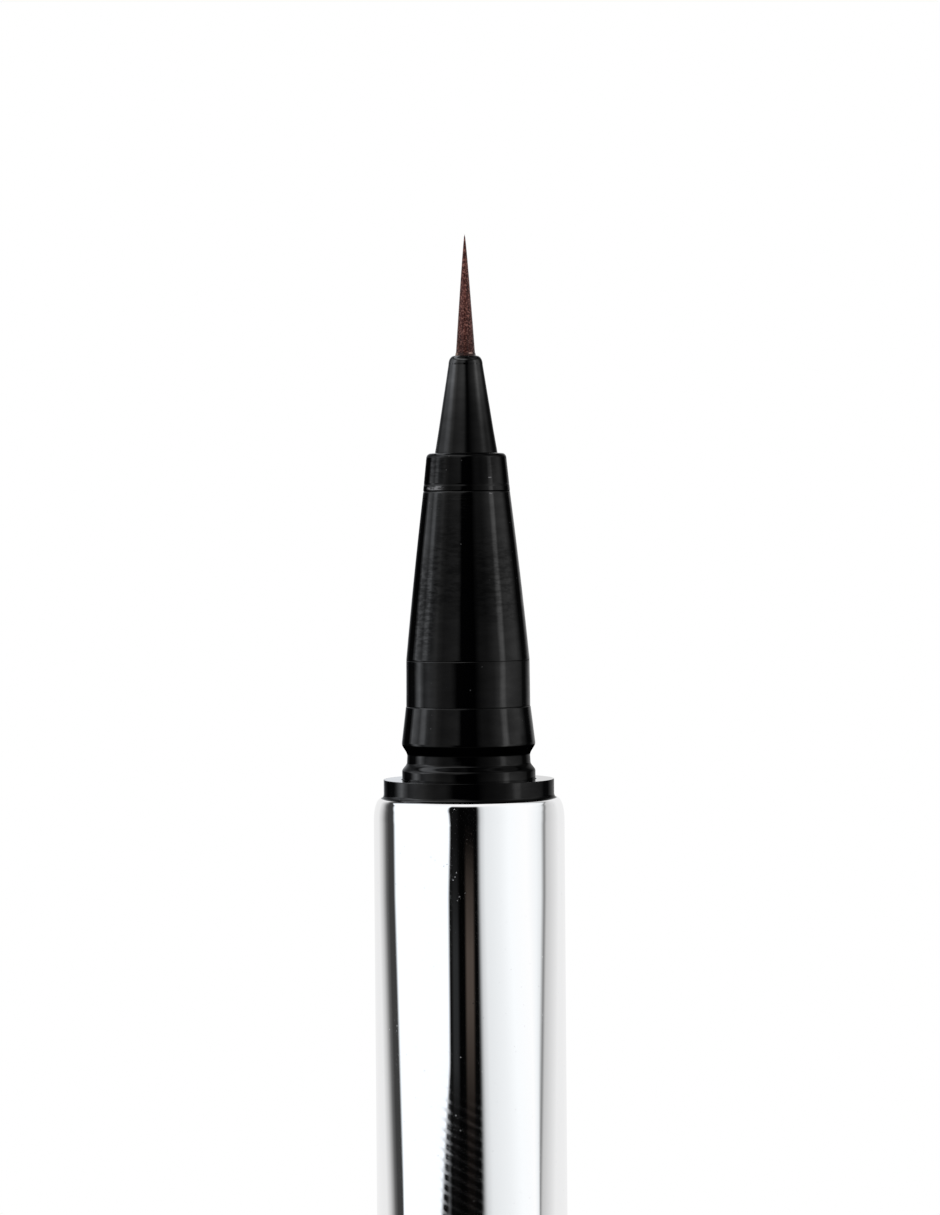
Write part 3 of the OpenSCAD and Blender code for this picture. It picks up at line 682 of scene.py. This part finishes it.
# Brush: fine tapered bristles that are wet with ink and drawn to one point
BRUSH_SEED = 7
BRISTLES = 540
BRISTLE_SIDES = 5
BRISTLE_STEPS = 10
BRISTLE_R = 0.027 * MM
BRISTLE_TIP_SHARE = 0.16
BRISTLE_TAPER = 1.5
BRUSH_TAPER = 0.84
GOLDEN_ANGLE = math.radians(137.508)
SHORTEST_SHARE = 0.1
CORE_SHARE = 0.96
CORE_REACH = 0.97
CORE_STEPS = 24
# The core hides the bristles whose roots are nearer to the axis than this share.
CORE_HIDES = 0.45
ROOT_SCATTER = -0.006 * MM, 0.0036 * MM
THICKNESS = 0.85, 1.1
LEAN = -0.05, 0.05
ROOT_DEPTH = 0.05 * MM
BEAD_UP = 0.16 * MM
BEAD_OUT = 0.62 * MM
BEAD_DEPTH = 0.1 * MM


def brush_taper(share):
    return (1 - share) ** BRUSH_TAPER


def bristle_blank():
    """One straight bristle of unit length and radius, with a fine point"""
    blank = new_circle("bristle", BRISTLE_SIDES, 1)
    bpy.ops.object.mode_set(mode="EDIT")
    radius = 1
    for step in range(1, BRISTLE_STEPS + 1):
        share = step / BRISTLE_STEPS
        next_radius = 1 - (1 - BRISTLE_TIP_SHARE) * share ** BRISTLE_TAPER
        pull_up(1 / BRISTLE_STEPS)
        scale_ring(next_radius / radius)
        radius = next_radius
    bpy.ops.mesh.merge(type="CENTER")
    bpy.ops.mesh.select_all(action="SELECT")
    close_form()
    return blank


def make_brush():
    dice = random.Random(BRUSH_SEED)
    brush_len = brush_point_z - nozzle_top_z
    core = turned("brush_core", [
        (brush_r, shank_low_z), (brush_r, nozzle_top_z - ROOT_DEPTH),
        *[((brush_r + front_out) * CORE_SHARE * brush_taper(CORE_REACH * s / CORE_STEPS),
           nozzle_top_z + brush_len * CORE_REACH * s / CORE_STEPS) for s in range(CORE_STEPS + 1)]
    ], ends="axis")
    blank = bristle_blank()
    bristles = []
    for index in range(BRISTLES):
        spread = math.sqrt((index + 0.5) / BRISTLES)
        angle = index * GOLDEN_ANGLE
        if spread < CORE_HIDES:
            continue
        root_r = (brush_r + front_out - BRISTLE_R) * spread + dice.uniform(*ROOT_SCATTER)
        length_share = 1 - SHORTEST_SHARE * spread * dice.random()
        thickness = BRISTLE_R * dice.uniform(*THICKNESS)
        lean = dice.uniform(*LEAN)
        bristle = blank.copy()
        bristle.data = blank.data.copy()
        bpy.context.scene.collection.objects.link(bristle)
        for vertex in bristle.data.vertices:
            share = vertex.co.z * length_share
            taper = brush_taper(min(share, 1))
            fine = max(taper, BRISTLE_TIP_SHARE)
            turn = angle + lean * share
            vertex.co = (
                root_r * taper * math.cos(turn) + vertex.co.x * thickness * fine,
                root_r * taper * math.sin(turn) + vertex.co.y * thickness * fine,
                nozzle_top_z - ROOT_DEPTH + (brush_len + ROOT_DEPTH) * share)
        bristles.append(bristle)
    bpy.data.objects.remove(blank)
    select_only(core)
    for bristle in bristles:
        bristle.select_set(True)
    bpy.ops.object.join()
    core.name = "brush"
    bpy.ops.object.shade_smooth_by_angle(angle=math.radians(60))
    return core


def make_ink_bead():
    """The ink that creeps up the brush where it leaves the nozzle"""
    inside_r = brush_r * 0.8
    fillet = curve_from_radius(BEAD_OUT, BEAD_UP, brush_r + front_out - BEAD_OUT, -BEAD_UP)[1:]
    return softened(turned("ink_bead", raised([
        (inside_r, -BEAD_DEPTH), (brush_bore_r, -BEAD_DEPTH), (brush_bore_r, 0), (BEAD_OUT, 0),
        *[(r, BEAD_UP - z) for r, z in fillet],
        (inside_r, BEAD_UP)], nozzle_top_z)), 0.005 * MM)


# Inside the cap: the liner, the sprung cup, its seal and the spring behind the cup's flange
inner_mouth_z = inner_cap_high.z
inner_flange_z = inner_mouth_z - 1.6 * MM
spring_seat_z = inner_flange_z - 7.4 * MM
inner_floor_z = inner_cap_low.z + 0.6 * MM
inner_bore_r = nozzle_base_r + 0.12 * MM
inner_r = inner_bore_r + 0.5 * MM
inner_flange_r = inner_cap_high.x
inner_lead = 0.2 * MM
cup_seal_r = seal_high.x
cup_seal_in = crown_top_r + 0.1 * MM
cup_seal_cone_z = seal_high.z - 0.6 * MM
cup_seat_r = cup_seal_r + rest_gap
cup_seat_z = seal_low_z - rest_gap
liner_bore_r = lip_r + 0.16 * MM
liner_lead = 0.3 * MM
liner_floor_z = liner_low.z + 0.8 * MM
click_rib_r = lip_r + slip_gap
click_rib_h = 0.3 * MM
click_z = cap_high_z - (bead_top_h + neck_top_h) / 2
retain_r = cone_top_r + 0.33 * MM
retain_h = 0.5 * MM
retain_z = inner_mouth_z + rest_gap + retain_h
chamber_r = inner_flange_r + 0.1 * MM
cup_guide_r = inner_r + 0.1 * MM


def make_click_liner():
    rib_in = liner_bore_r - click_rib_r
    rib_up, rib_run = click_rib_h / 2, 2 * rib_in
    return softened(turned("click_liner", [
        (tank_r - liner_lead, liner_low.z), (tank_r, liner_low.z + liner_lead), (tank_r, liner_high.z),
        (liner_bore_r + liner_lead, liner_high.z), (liner_bore_r, liner_high.z - liner_lead),
        *eased(liner_bore_r, click_z + rib_up + rib_run, -rib_in, -rib_run),
        *eased(click_rib_r, click_z - rib_up, rib_in, -rib_run),
        (liner_bore_r, retain_z + liner_bore_r - retain_r), (retain_r, retain_z),
        (retain_r, retain_z - retain_h), (chamber_r, retain_z - retain_h), (chamber_r, spring_seat_z),
        (cup_guide_r, spring_seat_z), (cup_guide_r, liner_floor_z),
    ], ends="axis"), 0.03 * MM)


def make_inner_cup():
    return softened(turned("inner_cup", [
        (inner_r - inner_lead, inner_cap_low.z), (inner_r, inner_cap_low.z + inner_lead),
        (inner_r, inner_flange_z), (inner_flange_r, inner_flange_z), (inner_flange_r, inner_mouth_z),
        (cup_seat_r, inner_mouth_z), (cup_seat_r, cup_seat_z), (inner_bore_r, cup_seat_z),
        (inner_bore_r, inner_floor_z),
    ], ends="axis"), 0.03 * MM)


def make_cup_seal():
    return softened(turned("cup_seal", [
        (inner_bore_r, seal_low_z), (cup_seal_r, seal_low_z), (cup_seal_r, seal_high.z),
        (cup_seal_in, seal_high.z), (inner_bore_r, cup_seal_cone_z)]), 0.04 * MM)


WIRE_R = 0.15 * MM
WIRE_SIDES = 12
COIL_STEPS = 32
COILS = 8
CLOSED_COILS = 0.8
OPENING_RATE = 2
END_PITCH = 2.1 * WIRE_R


def make_spring():
    """Wound wire with a closed coil at each end"""
    steps = COIL_STEPS * COILS
    from_end = [min(i, steps - 1 - i) / COIL_STEPS for i in range(steps)]
    open_share = [min(max(coils - CLOSED_COILS, 0) * OPENING_RATE, 1) for coils in from_end]
    low_z = spring_seat_z + rest_gap + WIRE_R
    rise = inner_flange_z - rest_gap - WIRE_R - low_z
    end_rise = END_PITCH / COIL_STEPS
    open_rise = (rise - end_rise * steps) / sum(open_share)
    piece = new_circle(
        "wound_spring", WIRE_SIDES, WIRE_R, location=(inner_flange_r - WIRE_R, 0, low_z),
        rotation=(math.pi / 2, 0, 0))
    bpy.ops.object.mode_set(mode="EDIT")
    for share in open_share:
        pull_up(end_rise + share * open_rise)
        bpy.ops.transform.rotate(value=2 * math.pi / COIL_STEPS, orient_axis="Z", center_override=(0, 0, 0))
    bpy.ops.mesh.select_all(action="SELECT")
    bpy.ops.mesh.fill_holes(sides=0)
    close_form()
    bpy.ops.object.shade_smooth_by_angle(angle=math.radians(50))
    return piece


# Effects that several materials share, each a node group
def effect(name, inputs, output):
    """An empty group with a Place input and the given (name, value) inputs, and one output"""
    group = bpy.data.node_groups.new(name, "ShaderNodeTree")
    group.interface.new_socket("Place", in_out="INPUT", socket_type="NodeSocketVector")
    for label, value in inputs:
        socket = group.interface.new_socket(label, in_out="INPUT", socket_type="NodeSocketFloat")
        socket.default_value = value
    group.interface.new_socket(output, in_out="OUTPUT", socket_type="NodeSocketFloat")
    return group, add_node(group, "NodeGroupInput", output=None).outputs


def finish_effect(group, value):
    add_node(group, "NodeGroupOutput", {0: value}, None)
    return group


def stretched(tree, place, along, across):
    """Object coordinates for a pattern with the given grids along the axis and across it"""
    x, y, z = split_xyz(tree, place)
    return add_node(tree, "ShaderNodeCombineXYZ", {
        0: times(tree, x, across), 1: times(tree, y, across), 2: times(tree, z, along)})


def noise(tree, place, scale=1.0, detail=2.0, rough=0.5):
    return add_node(tree, "ShaderNodeTexNoise", {
        "Vector": place, "Scale": scale, "Detail": detail, "Roughness": rough}, "Fac")


# Spreads the random colours of neighbouring cells
SHUFFLE = 7.3


def dust_effect():
    """Dust: round specks in a share of the cells of a grid"""
    group, given = effect("dust_specks", [("Grid", 1500), ("Speck size", 0.2), ("Share", 0.3)], "Specks")
    cells = add_node(group, "ShaderNodeTexVoronoi", {"Vector": given["Place"], "Scale": given["Grid"]}, None)
    chosen = calc(group, "LESS_THAN", calc(group, "FRACT", times(
        group, cells.outputs["Color"], SHUFFLE)), given["Share"])
    near = smooth_step(group, cells.outputs["Distance"], given["Speck size"], 0.0)
    return finish_effect(group, times(group, near, chosen))


def hairline_effect():
    """Hairlines: thin lines wound about the axis, in patches"""
    group, given = effect(
        "hairlines", [("Grid", 9000), ("Twist", 300), ("Width", 0.02), ("Share", 0.5)], "Lines")
    x, y, z = split_xyz(group, given["Place"])
    turn = times(group, z, given["Twist"])
    sine, cosine = calc(group, "SINE", turn), calc(group, "COSINE", turn)
    across = calc(group, "SUBTRACT", times(group, x, cosine), times(group, y, sine))
    deep = calc(group, "ADD", times(group, x, sine), times(group, y, cosine))
    turned_place = add_node(group, "ShaderNodeCombineXYZ", {0: across, 1: deep, 2: times(group, z, 0.04)})
    off = calc(group, "ABSOLUTE", calc(group, "SUBTRACT", noise(group, turned_place, given["Grid"], 2), 0.5))
    line = smooth_step(group, off, given["Width"], 0.0)
    patches = noise(group, given["Place"], 260, 1)
    kept = smooth_step(group, patches, calc(group, "SUBTRACT", 1.05, given["Share"]), calc(
        group, "SUBTRACT", 1.15, given["Share"]))
    return finish_effect(group, times(group, line, kept))


def moulding_effect():
    """Moulded surface: rings left by turning the mould, over a fine orange peel"""
    group, given = effect("moulded_surface", [("Rings", 1), ("Peel", 1)], "Height")
    rings = noise(group, stretched(group, given["Place"], 9000, 500), 1, 3, 0.6)
    peel = noise(group, given["Place"], 6500, 2)
    return finish_effect(
        group, calc(group, "ADD", times(group, rings, given["Rings"]), times(group, peel, given["Peel"])))


def rub_and_highlight_effect():
    """A spot at a height and an azimuth, broken up into streaks round the axis: rub marks and dulled gloss on
    the mouldings, and pale spots on the ink, one of them a painted highlight
    """
    group, given = effect("rub_and_highlight_spots", [
        ("Height", 0.15), ("Reach", 0.0003), ("Azimuth", 0), ("Spread", 20), ("Wear", 0.5), ("Grain", 9000),
    ], "Marks")
    x, y, z = split_xyz(group, given["Place"])
    aside = calc(group, "ABSOLUTE", calc(group, "SUBTRACT", azimuth_of(group, x, y), given["Azimuth"]))
    beside = smooth_step(group, aside, given["Spread"], times(group, given["Spread"], 0.5))
    off = calc(group, "ABSOLUTE", calc(group, "SUBTRACT", z, given["Height"]))
    level = smooth_step(group, off, given["Reach"], times(group, given["Reach"], 0.3))
    streaks = noise(group, stretched(group, given["Place"], 1, 0.3), given["Grain"], 3, 0.65)
    streaked = smooth_step(group, streaks, calc(group, "SUBTRACT", 0.95, given["Wear"]), calc(
        group, "SUBTRACT", 1.15, given["Wear"]))
    return finish_effect(group, times(group, times(group, beside, level), streaked))


DUST = dust_effect()
HAIRLINES = hairline_effect()
MOULDING = moulding_effect()
RUB_AND_HIGHLIGHT_SPOTS = rub_and_highlight_effect()


def use(tree, group, place, **values):
    node = add_node(tree, "ShaderNodeGroup", None, None, node_tree=group)
    feed_all(tree, node.inputs, Place=place, **values)
    return node.outputs[0]


def rub_and_highlight_mask(tree, place, spot, wear, grain):
    """The streaked spot mask for a spot given as (height, reach, azimuth, spread), used for rub marks, dulled
    gloss and painted highlights
    """
    height, reach, azimuth, spread = spot
    return use(
        tree, RUB_AND_HIGHLIGHT_SPOTS, place, Height=height, Reach=reach, Azimuth=azimuth, Spread=spread, Wear=wear, Grain=grain)


# Materials
def new_material(name, **plain):
    """A material whose shader has the given plain values, with the tree, the shader and the coordinates"""
    material = bpy.data.materials.new(name)
    material.use_nodes = True
    tree = material.node_tree
    shader = tree.nodes["Principled BSDF"].inputs
    feed_all(tree, shader, **plain)
    return material, tree, shader, add_node(tree, "ShaderNodeTexCoord", output="Object")


def raise_by(tree, height, distance):
    return add_node(tree, "ShaderNodeBump", {"Height": height, "Distance": distance})


# Wipe marks: slanting lines on the barrel's front, which set in between two heights
WIPE_PITCH = 0.58 * MM
WIPE_SLOPE = 0.55
WIPE_HEIGHTS = top_z - 15.6 * MM, top_z - 17 * MM
WIPE_FRONT = -0.6 * barrel_r, -0.9 * barrel_r
WIPE_ROUGH = 0.054
POLISH_ROUGH, LINE_ROUGH, DUST_ROUGH = 0.02, 0.07, 0.42
METAL_WAVE_H = 0.0006 * MM


def mirror_metal(name, twist):
    """Polished metal, with dust, the hairlines of handling and the slanting marks of a cloth on the front"""
    material, tree, shader, place = new_material(name, Metallic=1.0)
    fine_dust = use(tree, DUST, place, Grid=2600, Speck_size=0.16, Share=0.3)
    dust = calc(tree, "MAXIMUM", fine_dust, use(tree, DUST, place, Grid=900, Speck_size=0.1, Share=0.4))
    lines = use(tree, HAIRLINES, place, Grid=5200, Twist=twist, Width=0.012, Share=0.62)
    rough = calc(tree, "MULTIPLY_ADD", lines, LINE_ROUGH, POLISH_ROUGH)
    x, y, z = split_xyz(tree, place)
    slant = calc(tree, "MULTIPLY_ADD", x, WIPE_SLOPE, z)
    threads = calc(tree, "SINE", times(tree, slant, 2 * math.pi / WIPE_PITCH))
    wiped = times(
        tree, smooth_step(tree, z, *WIPE_HEIGHTS, 0, WIPE_ROUGH), smooth_step(tree, y, *WIPE_FRONT))
    rough = calc(tree, "MULTIPLY_ADD", smooth_step(tree, threads, -0.6, 1), wiped, rough)
    waves = noise(tree, stretched(tree, place, 60, 240), 1, 1)
    feed_all(
        tree, shader, Base_Color=mix_colour(tree, dust, (0.945, 0.945, 0.95), (0.84, 0.84, 0.85)),
        Roughness=mix_value(tree, dust, rough, DUST_ROUGH), Normal=raise_by(tree, waves, METAL_WAVE_H))
    return material


GLOSS = 0.5
UPWARD_GLOSS = 0.9
# How steeply a face looks down where its gloss goes, and up where the upward gloss comes in
DOWNWARD = -0.3, -0.08
UPWARD = 0.86, 0.97
SINKS = 8
DULL_GRAIN = 5200
SCUFF_WEAR, SCUFF_GRAIN = 0.6, 9000
DUST_SHOWS = 0.4
MOULDING_H = 0.0012 * MM


def black_plastic(name, rubs=(), dulled=(), polished=None):
    """Gloss black moulding with turning rings, dust, rub marks and spots where the gloss is broken up.

    Both kinds of spot are given as (height, reach, azimuth, spread), and a dulled one also has its wear and
    the share of the gloss that it takes. A polished end is two heights and how much gloss is left at each."""
    material, tree, shader, place = new_material(
        name, Roughness=0.3, Specular_IOR_Level=0.0, Coat_IOR=1.5, Coat_Roughness=0.0)
    normal = add_node(tree, "ShaderNodeTexCoord", output="Normal")
    upward = split_xyz(tree, normal)["Z"]
    mottle = noise(tree, stretched(tree, place, 1800, 700), 1, 3, 0.6)
    gloss = smooth_step(tree, mottle, 0.25, 0.75, 0.85 * GLOSS, 1.15 * GLOSS)
    for *spot, wear, loss in dulled:
        dull = rub_and_highlight_mask(tree, place, spot, wear, DULL_GRAIN)
        gloss = times(tree, gloss, calc(tree, "MULTIPLY_ADD", dull, -loss, 1))
    if polished:
        gloss = times(tree, gloss, smooth_step(tree, split_xyz(tree, place)["Z"], *polished))
    gloss = times(tree, gloss, smooth_step(tree, upward, *DOWNWARD))
    gloss = mix_value(tree, smooth_step(tree, upward, *UPWARD), gloss, UPWARD_GLOSS)
    dust = use(tree, DUST, place, Grid=2400, Speck_size=0.13, Share=0.16)
    marks = times(tree, dust, DUST_SHOWS)
    for spot in rubs:
        marks = calc(tree, "MAXIMUM", marks, rub_and_highlight_mask(tree, place, spot, SCUFF_WEAR, SCUFF_GRAIN))
    black = mix_colour(tree, marks, (0.0004, 0.0004, 0.0005), (0.14, 0.14, 0.145))
    waves = noise(tree, stretched(tree, place, 350, 900), 1, 1)
    height = calc(tree, "MULTIPLY_ADD", waves, SINKS, use(tree, MOULDING, place, Rings=1.0, Peel=0.6))
    surface = raise_by(tree, height, MOULDING_H)
    feed_all(tree, shader, Base_Color=black, Coat_Weight=gloss, Normal=surface, Coat_Normal=surface)
    return material


ROOTS_DARKEN = 0.2 * MM, 2.4 * MM
GRAIN_H = 0.003 * MM


def wet_bristle():
    """Brown bristles with grains of pigment in the ink, which is darkest where they leave the nozzle"""
    material, tree, shader, place = new_material("wet_bristle", Specular_IOR_Level=0.1, Coat_Roughness=0.2)
    strands = noise(tree, stretched(tree, place, 500, 11000), 1, 2, 0.6)
    brown = ramp(tree, strands, [
        (0.32, (0.014, 0.0026, 0.0022)), (0.5, (0.036, 0.0085, 0.0066)), (0.68, (0.084, 0.027, 0.022))])
    grains = noise(tree, place, 10500, 2, 0.7)
    brown = mix_colour(tree, smooth_step(tree, grains, 0.5, 0.62), brown, (0.2, 0.085, 0.068))
    above = calc(tree, "SUBTRACT", split_xyz(tree, place)["Z"], nozzle_top_z)
    brown = mix_colour(tree, smooth_step(tree, above, *ROOTS_DARKEN, 0.55, 1), (0.012, 0.003, 0.002), brown)
    feed_all(
        tree, shader, Base_Color=brown, Roughness=smooth_step(tree, strands, 0.3, 0.7, 0.5, 0.3),
        Coat_Weight=smooth_step(tree, grains, 0.35, 0.65, 0.04, 0.24), Normal=raise_by(tree, grains, GRAIN_H))
    return material


# Streaks of the pale spots on the ink, one of them a painted highlight
SPOT_AND_HIGHLIGHT_WEAR, SPOT_AND_HIGHLIGHT_GRAIN = 0.8, 4000
BLOT_H = 0.006 * MM


def ink_film(spots):
    """Brown ink that has crept up the brush, with pale spots painted into its colour, each with its colour
    last; one of them is a painted highlight
    """
    material, tree, shader, place = new_material("ink_film", Specular_IOR_Level=0.15, Coat_Weight=0.05)
    blots = noise(tree, place, 3500, 3, 0.6)
    brown = ramp(tree, blots, [(0.35, (0.012, 0.004, 0.003)), (0.65, (0.04, 0.016, 0.013))])
    # Each spot mixes a paler colour into the brown: a beige spot, and a painted highlight
    for *spot, colour in spots:
        brown = mix_colour(tree, rub_and_highlight_mask(tree, place, spot, SPOT_AND_HIGHLIGHT_WEAR, SPOT_AND_HIGHLIGHT_GRAIN), brown, colour)
    feed_all(
        tree, shader, Base_Color=brown, Roughness=smooth_step(tree, blots, 0.3, 0.7, 0.2, 0.5),
        Normal=raise_by(tree, blots, BLOT_H))
    return material


PALE_H, RUBBER_H, FIBRE_H = 0.004 * MM, 0.006 * MM, 0.02 * MM


def pale_plastic(name, colour, shade, rings=1.0):
    """Natural moulding: slightly uneven in colour, with turning rings"""
    material, tree, shader, place = new_material(name, Specular_IOR_Level=0.45)
    clouds = noise(tree, place, 700, 3)
    height = use(tree, MOULDING, place, Rings=rings, Peel=1.0)
    feed_all(
        tree, shader, Base_Color=mix_colour(tree, smooth_step(tree, clouds, 0.35, 0.65), colour, shade),
        Roughness=smooth_step(tree, clouds, 0.3, 0.7, 0.34, 0.46), Normal=raise_by(tree, height, PALE_H))
    return material


def seal_rubber():
    """Smooth dark rubber with a trace of bloom"""
    material, tree, shader, place = new_material("seal_rubber", Specular_IOR_Level=0.4)
    bloom = use(tree, DUST, place, Grid=3200, Speck_size=0.3, Share=0.5)
    height = use(tree, MOULDING, place, Rings=0.3, Peel=1.0)
    feed_all(
        tree, shader, Base_Color=mix_colour(tree, bloom, (0.012, 0.012, 0.013), (0.045, 0.045, 0.047)),
        Roughness=mix_value(tree, bloom, 0.42, 0.62), Normal=raise_by(tree, height, RUBBER_H))
    return material


def bright_steel(name, twist, colour):
    """Steel wire or ball, with drawing or polishing lines"""
    material, tree, shader, place = new_material(name, Metallic=1.0)
    lines = use(tree, HAIRLINES, place, Grid=7000, Twist=twist, Width=0.05, Share=0.85)
    feed_all(
        tree, shader, Base_Color=mix_colour(tree, lines, colour, tuple(c * 0.8 for c in colour)),
        Roughness=calc(tree, "MULTIPLY_ADD", lines, 0.2, 0.14))
    return material


def wick_fibre():
    """Drawn fibres along the axis, stained by the ink"""
    material, tree, shader, place = new_material("wick_fibre", Specular_IOR_Level=0.25)
    strands = noise(tree, stretched(tree, place, 300, 16000), 1, 3, 0.7)
    stain = noise(tree, stretched(tree, place, 150, 400), 1, 3)
    fibre = ramp(tree, strands, [(0.3, (0.34, 0.27, 0.19)), (0.7, (0.74, 0.65, 0.5))])
    fibre = mix_colour(tree, smooth_step(tree, stain, 0.35, 0.6), fibre, (0.1, 0.045, 0.036))
    feed_all(
        tree, shader, Base_Color=fibre, Roughness=smooth_step(tree, strands, 0.3, 0.7, 0.85, 0.6),
        Normal=raise_by(tree, strands, FIBRE_H))
    return material


def spots_at(z, *spots):
    """Spots above a height, given as (millimetres up, reach in millimetres, azimuth, spread, ...)"""
    return [(z + up * MM, reach * MM, *rest) for up, reach, *rest in spots]


chrome = mirror_metal("barrel_chrome", 330)
cap_chrome = mirror_metal("cap_chrome", -260)
collar_black = black_plastic("collar_plastic", dulled=spots_at(
    top_z + collar_h / 2, (0, 2, 46, 60, 1.0, 0.38)))
post_black = black_plastic("post_plastic")
scuffs = spots_at(
    parting_z, (0.16, 0.12, -50, 19), (0.24, 0.08, -39, 9), (0.76, 0.05, 33.5, 3), (-0.12, 0.05, 33.5, 3))
ripples = spots_at(
    top_z + band_top_h, (3.1, 4.4, -50, 20, 0.56, 0.5), (3.7, 2.4, 19, 16, 1.0, 0.2),
    (4.6, 3.6, 32, 34, 0.54, 0.36), (5.4, 3.8, -22, 24, 0.52, 0.4))
ripples += spots_at(top_z, (2, 0.5, -62, 14, 1.0, 0.38), (3.3, 0.6, 62, 14, 1.0, 0.45))
ripples += spots_at(top_z + neck_flat_low_h, (0, 1.3, 60, 120, 1.0, 0.38))
grip_black = black_plastic("grip_plastic", scuffs, ripples)
dull_sides = spots_at(
    parting_z, (1.2, 1.3, 27, 12, 1.0, 0.4), (2.9, 1.6, 37, 15, 1.0, 0.34),
    (1.4, 1.1, -48, 24, 0.55, 0.45), (1.3, 0.4, 36, 14, 0.6, 0.3))
polished_tip = (nozzle_top_z - 3.6 * MM, nozzle_top_z - 0.9 * MM, 0.78, 1.6)
nozzle_black = black_plastic("nozzle_plastic", scuffs, dull_sides, polished_tip)
bristle_brown = wet_bristle()
# Pale spots on the ink at the brush's foot: a beige spot at the left, and a painted highlight at the right
ink_brown = ink_film(spots_at(
    nozzle_top_z, (0.08, 0.12, -68, 24, (0.2, 0.14, 0.11)), (0.16, 0.08, 32, 17, (0.5, 0.34, 0.29))))


def coat(piece, material):
    piece.data.materials.clear()
    piece.data.materials.append(material)


def dress(piece, body, slot, material, *nodes):
    coat(piece, material)
    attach(piece, body)
    if nodes:
        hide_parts(*nodes)


dress(make_barrel(), "pen", "mirror_metal", chrome, "barrel_sleeve")
dress(make_cap_can(), "cap", "mirror_metal", cap_chrome, "cap_shell")
front_collar, tail_collar = make_collars()
dress(front_collar, "pen", "black_plastic", collar_black, "collar_ring")
dress(tail_collar, "pen", "black_plastic", post_black, "tail_collar_ring")
dress(make_grip(), "pen", "black_plastic", grip_black, "grip_section")
dress(make_nozzle(), "pen", "black_plastic", nozzle_black, "nozzle_tip")
dress(make_post(), "pen", "black_plastic", post_black, "tail_post")
dress(make_brush(), "pen", "bristle", bristle_brown, "brush_tuft")
dress(make_ink_bead(), "pen", "bristle", ink_brown)

liner_white = pale_plastic("liner_plastic", (0.86, 0.86, 0.85), (0.82, 0.82, 0.81))
rubber = seal_rubber()
spring_wire = bright_steel("spring_steel", 40, (0.6, 0.6, 0.61))
dress(make_click_liner(), "cap", "liner_plastic", liner_white, "cap_liner")
dress(make_inner_cup(), "inner_cap", "liner_plastic", liner_white, "inner_cap")
dress(make_cup_seal(), "inner_cap", "seal_rubber", rubber, "inner_cap_seal")
wound_spring = make_spring()
dress(wound_spring, "cap", "spring_steel", spring_wire, "inner_cap_spring")
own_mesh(wound_spring)

# Finishes of the pieces inside, whose solids stay as they are
tank_milk = pale_plastic("tank_plastic", (0.82, 0.83, 0.82), (0.76, 0.77, 0.76))
collector_white = pale_plastic("collector_plastic", (0.9, 0.9, 0.88), (0.74, 0.68, 0.64), rings=0.4)
holder_ivory = pale_plastic("holder_plastic", (0.85, 0.82, 0.74), (0.8, 0.77, 0.68))
ball_polish = bright_steel("ball_steel", 120, (0.7, 0.7, 0.71))
for node, material in {
    "ink_tank": tank_milk, "tank_plug": tank_milk, "tail_seal_ring": rubber, "mixing_ball": ball_polish,
    "section_seal_ring": rubber, "brush_holder": holder_ivory, "collector": collector_white,
    "feed_wick": wick_fibre(),
}.items():
    coat(bpy.data.objects[node], material)
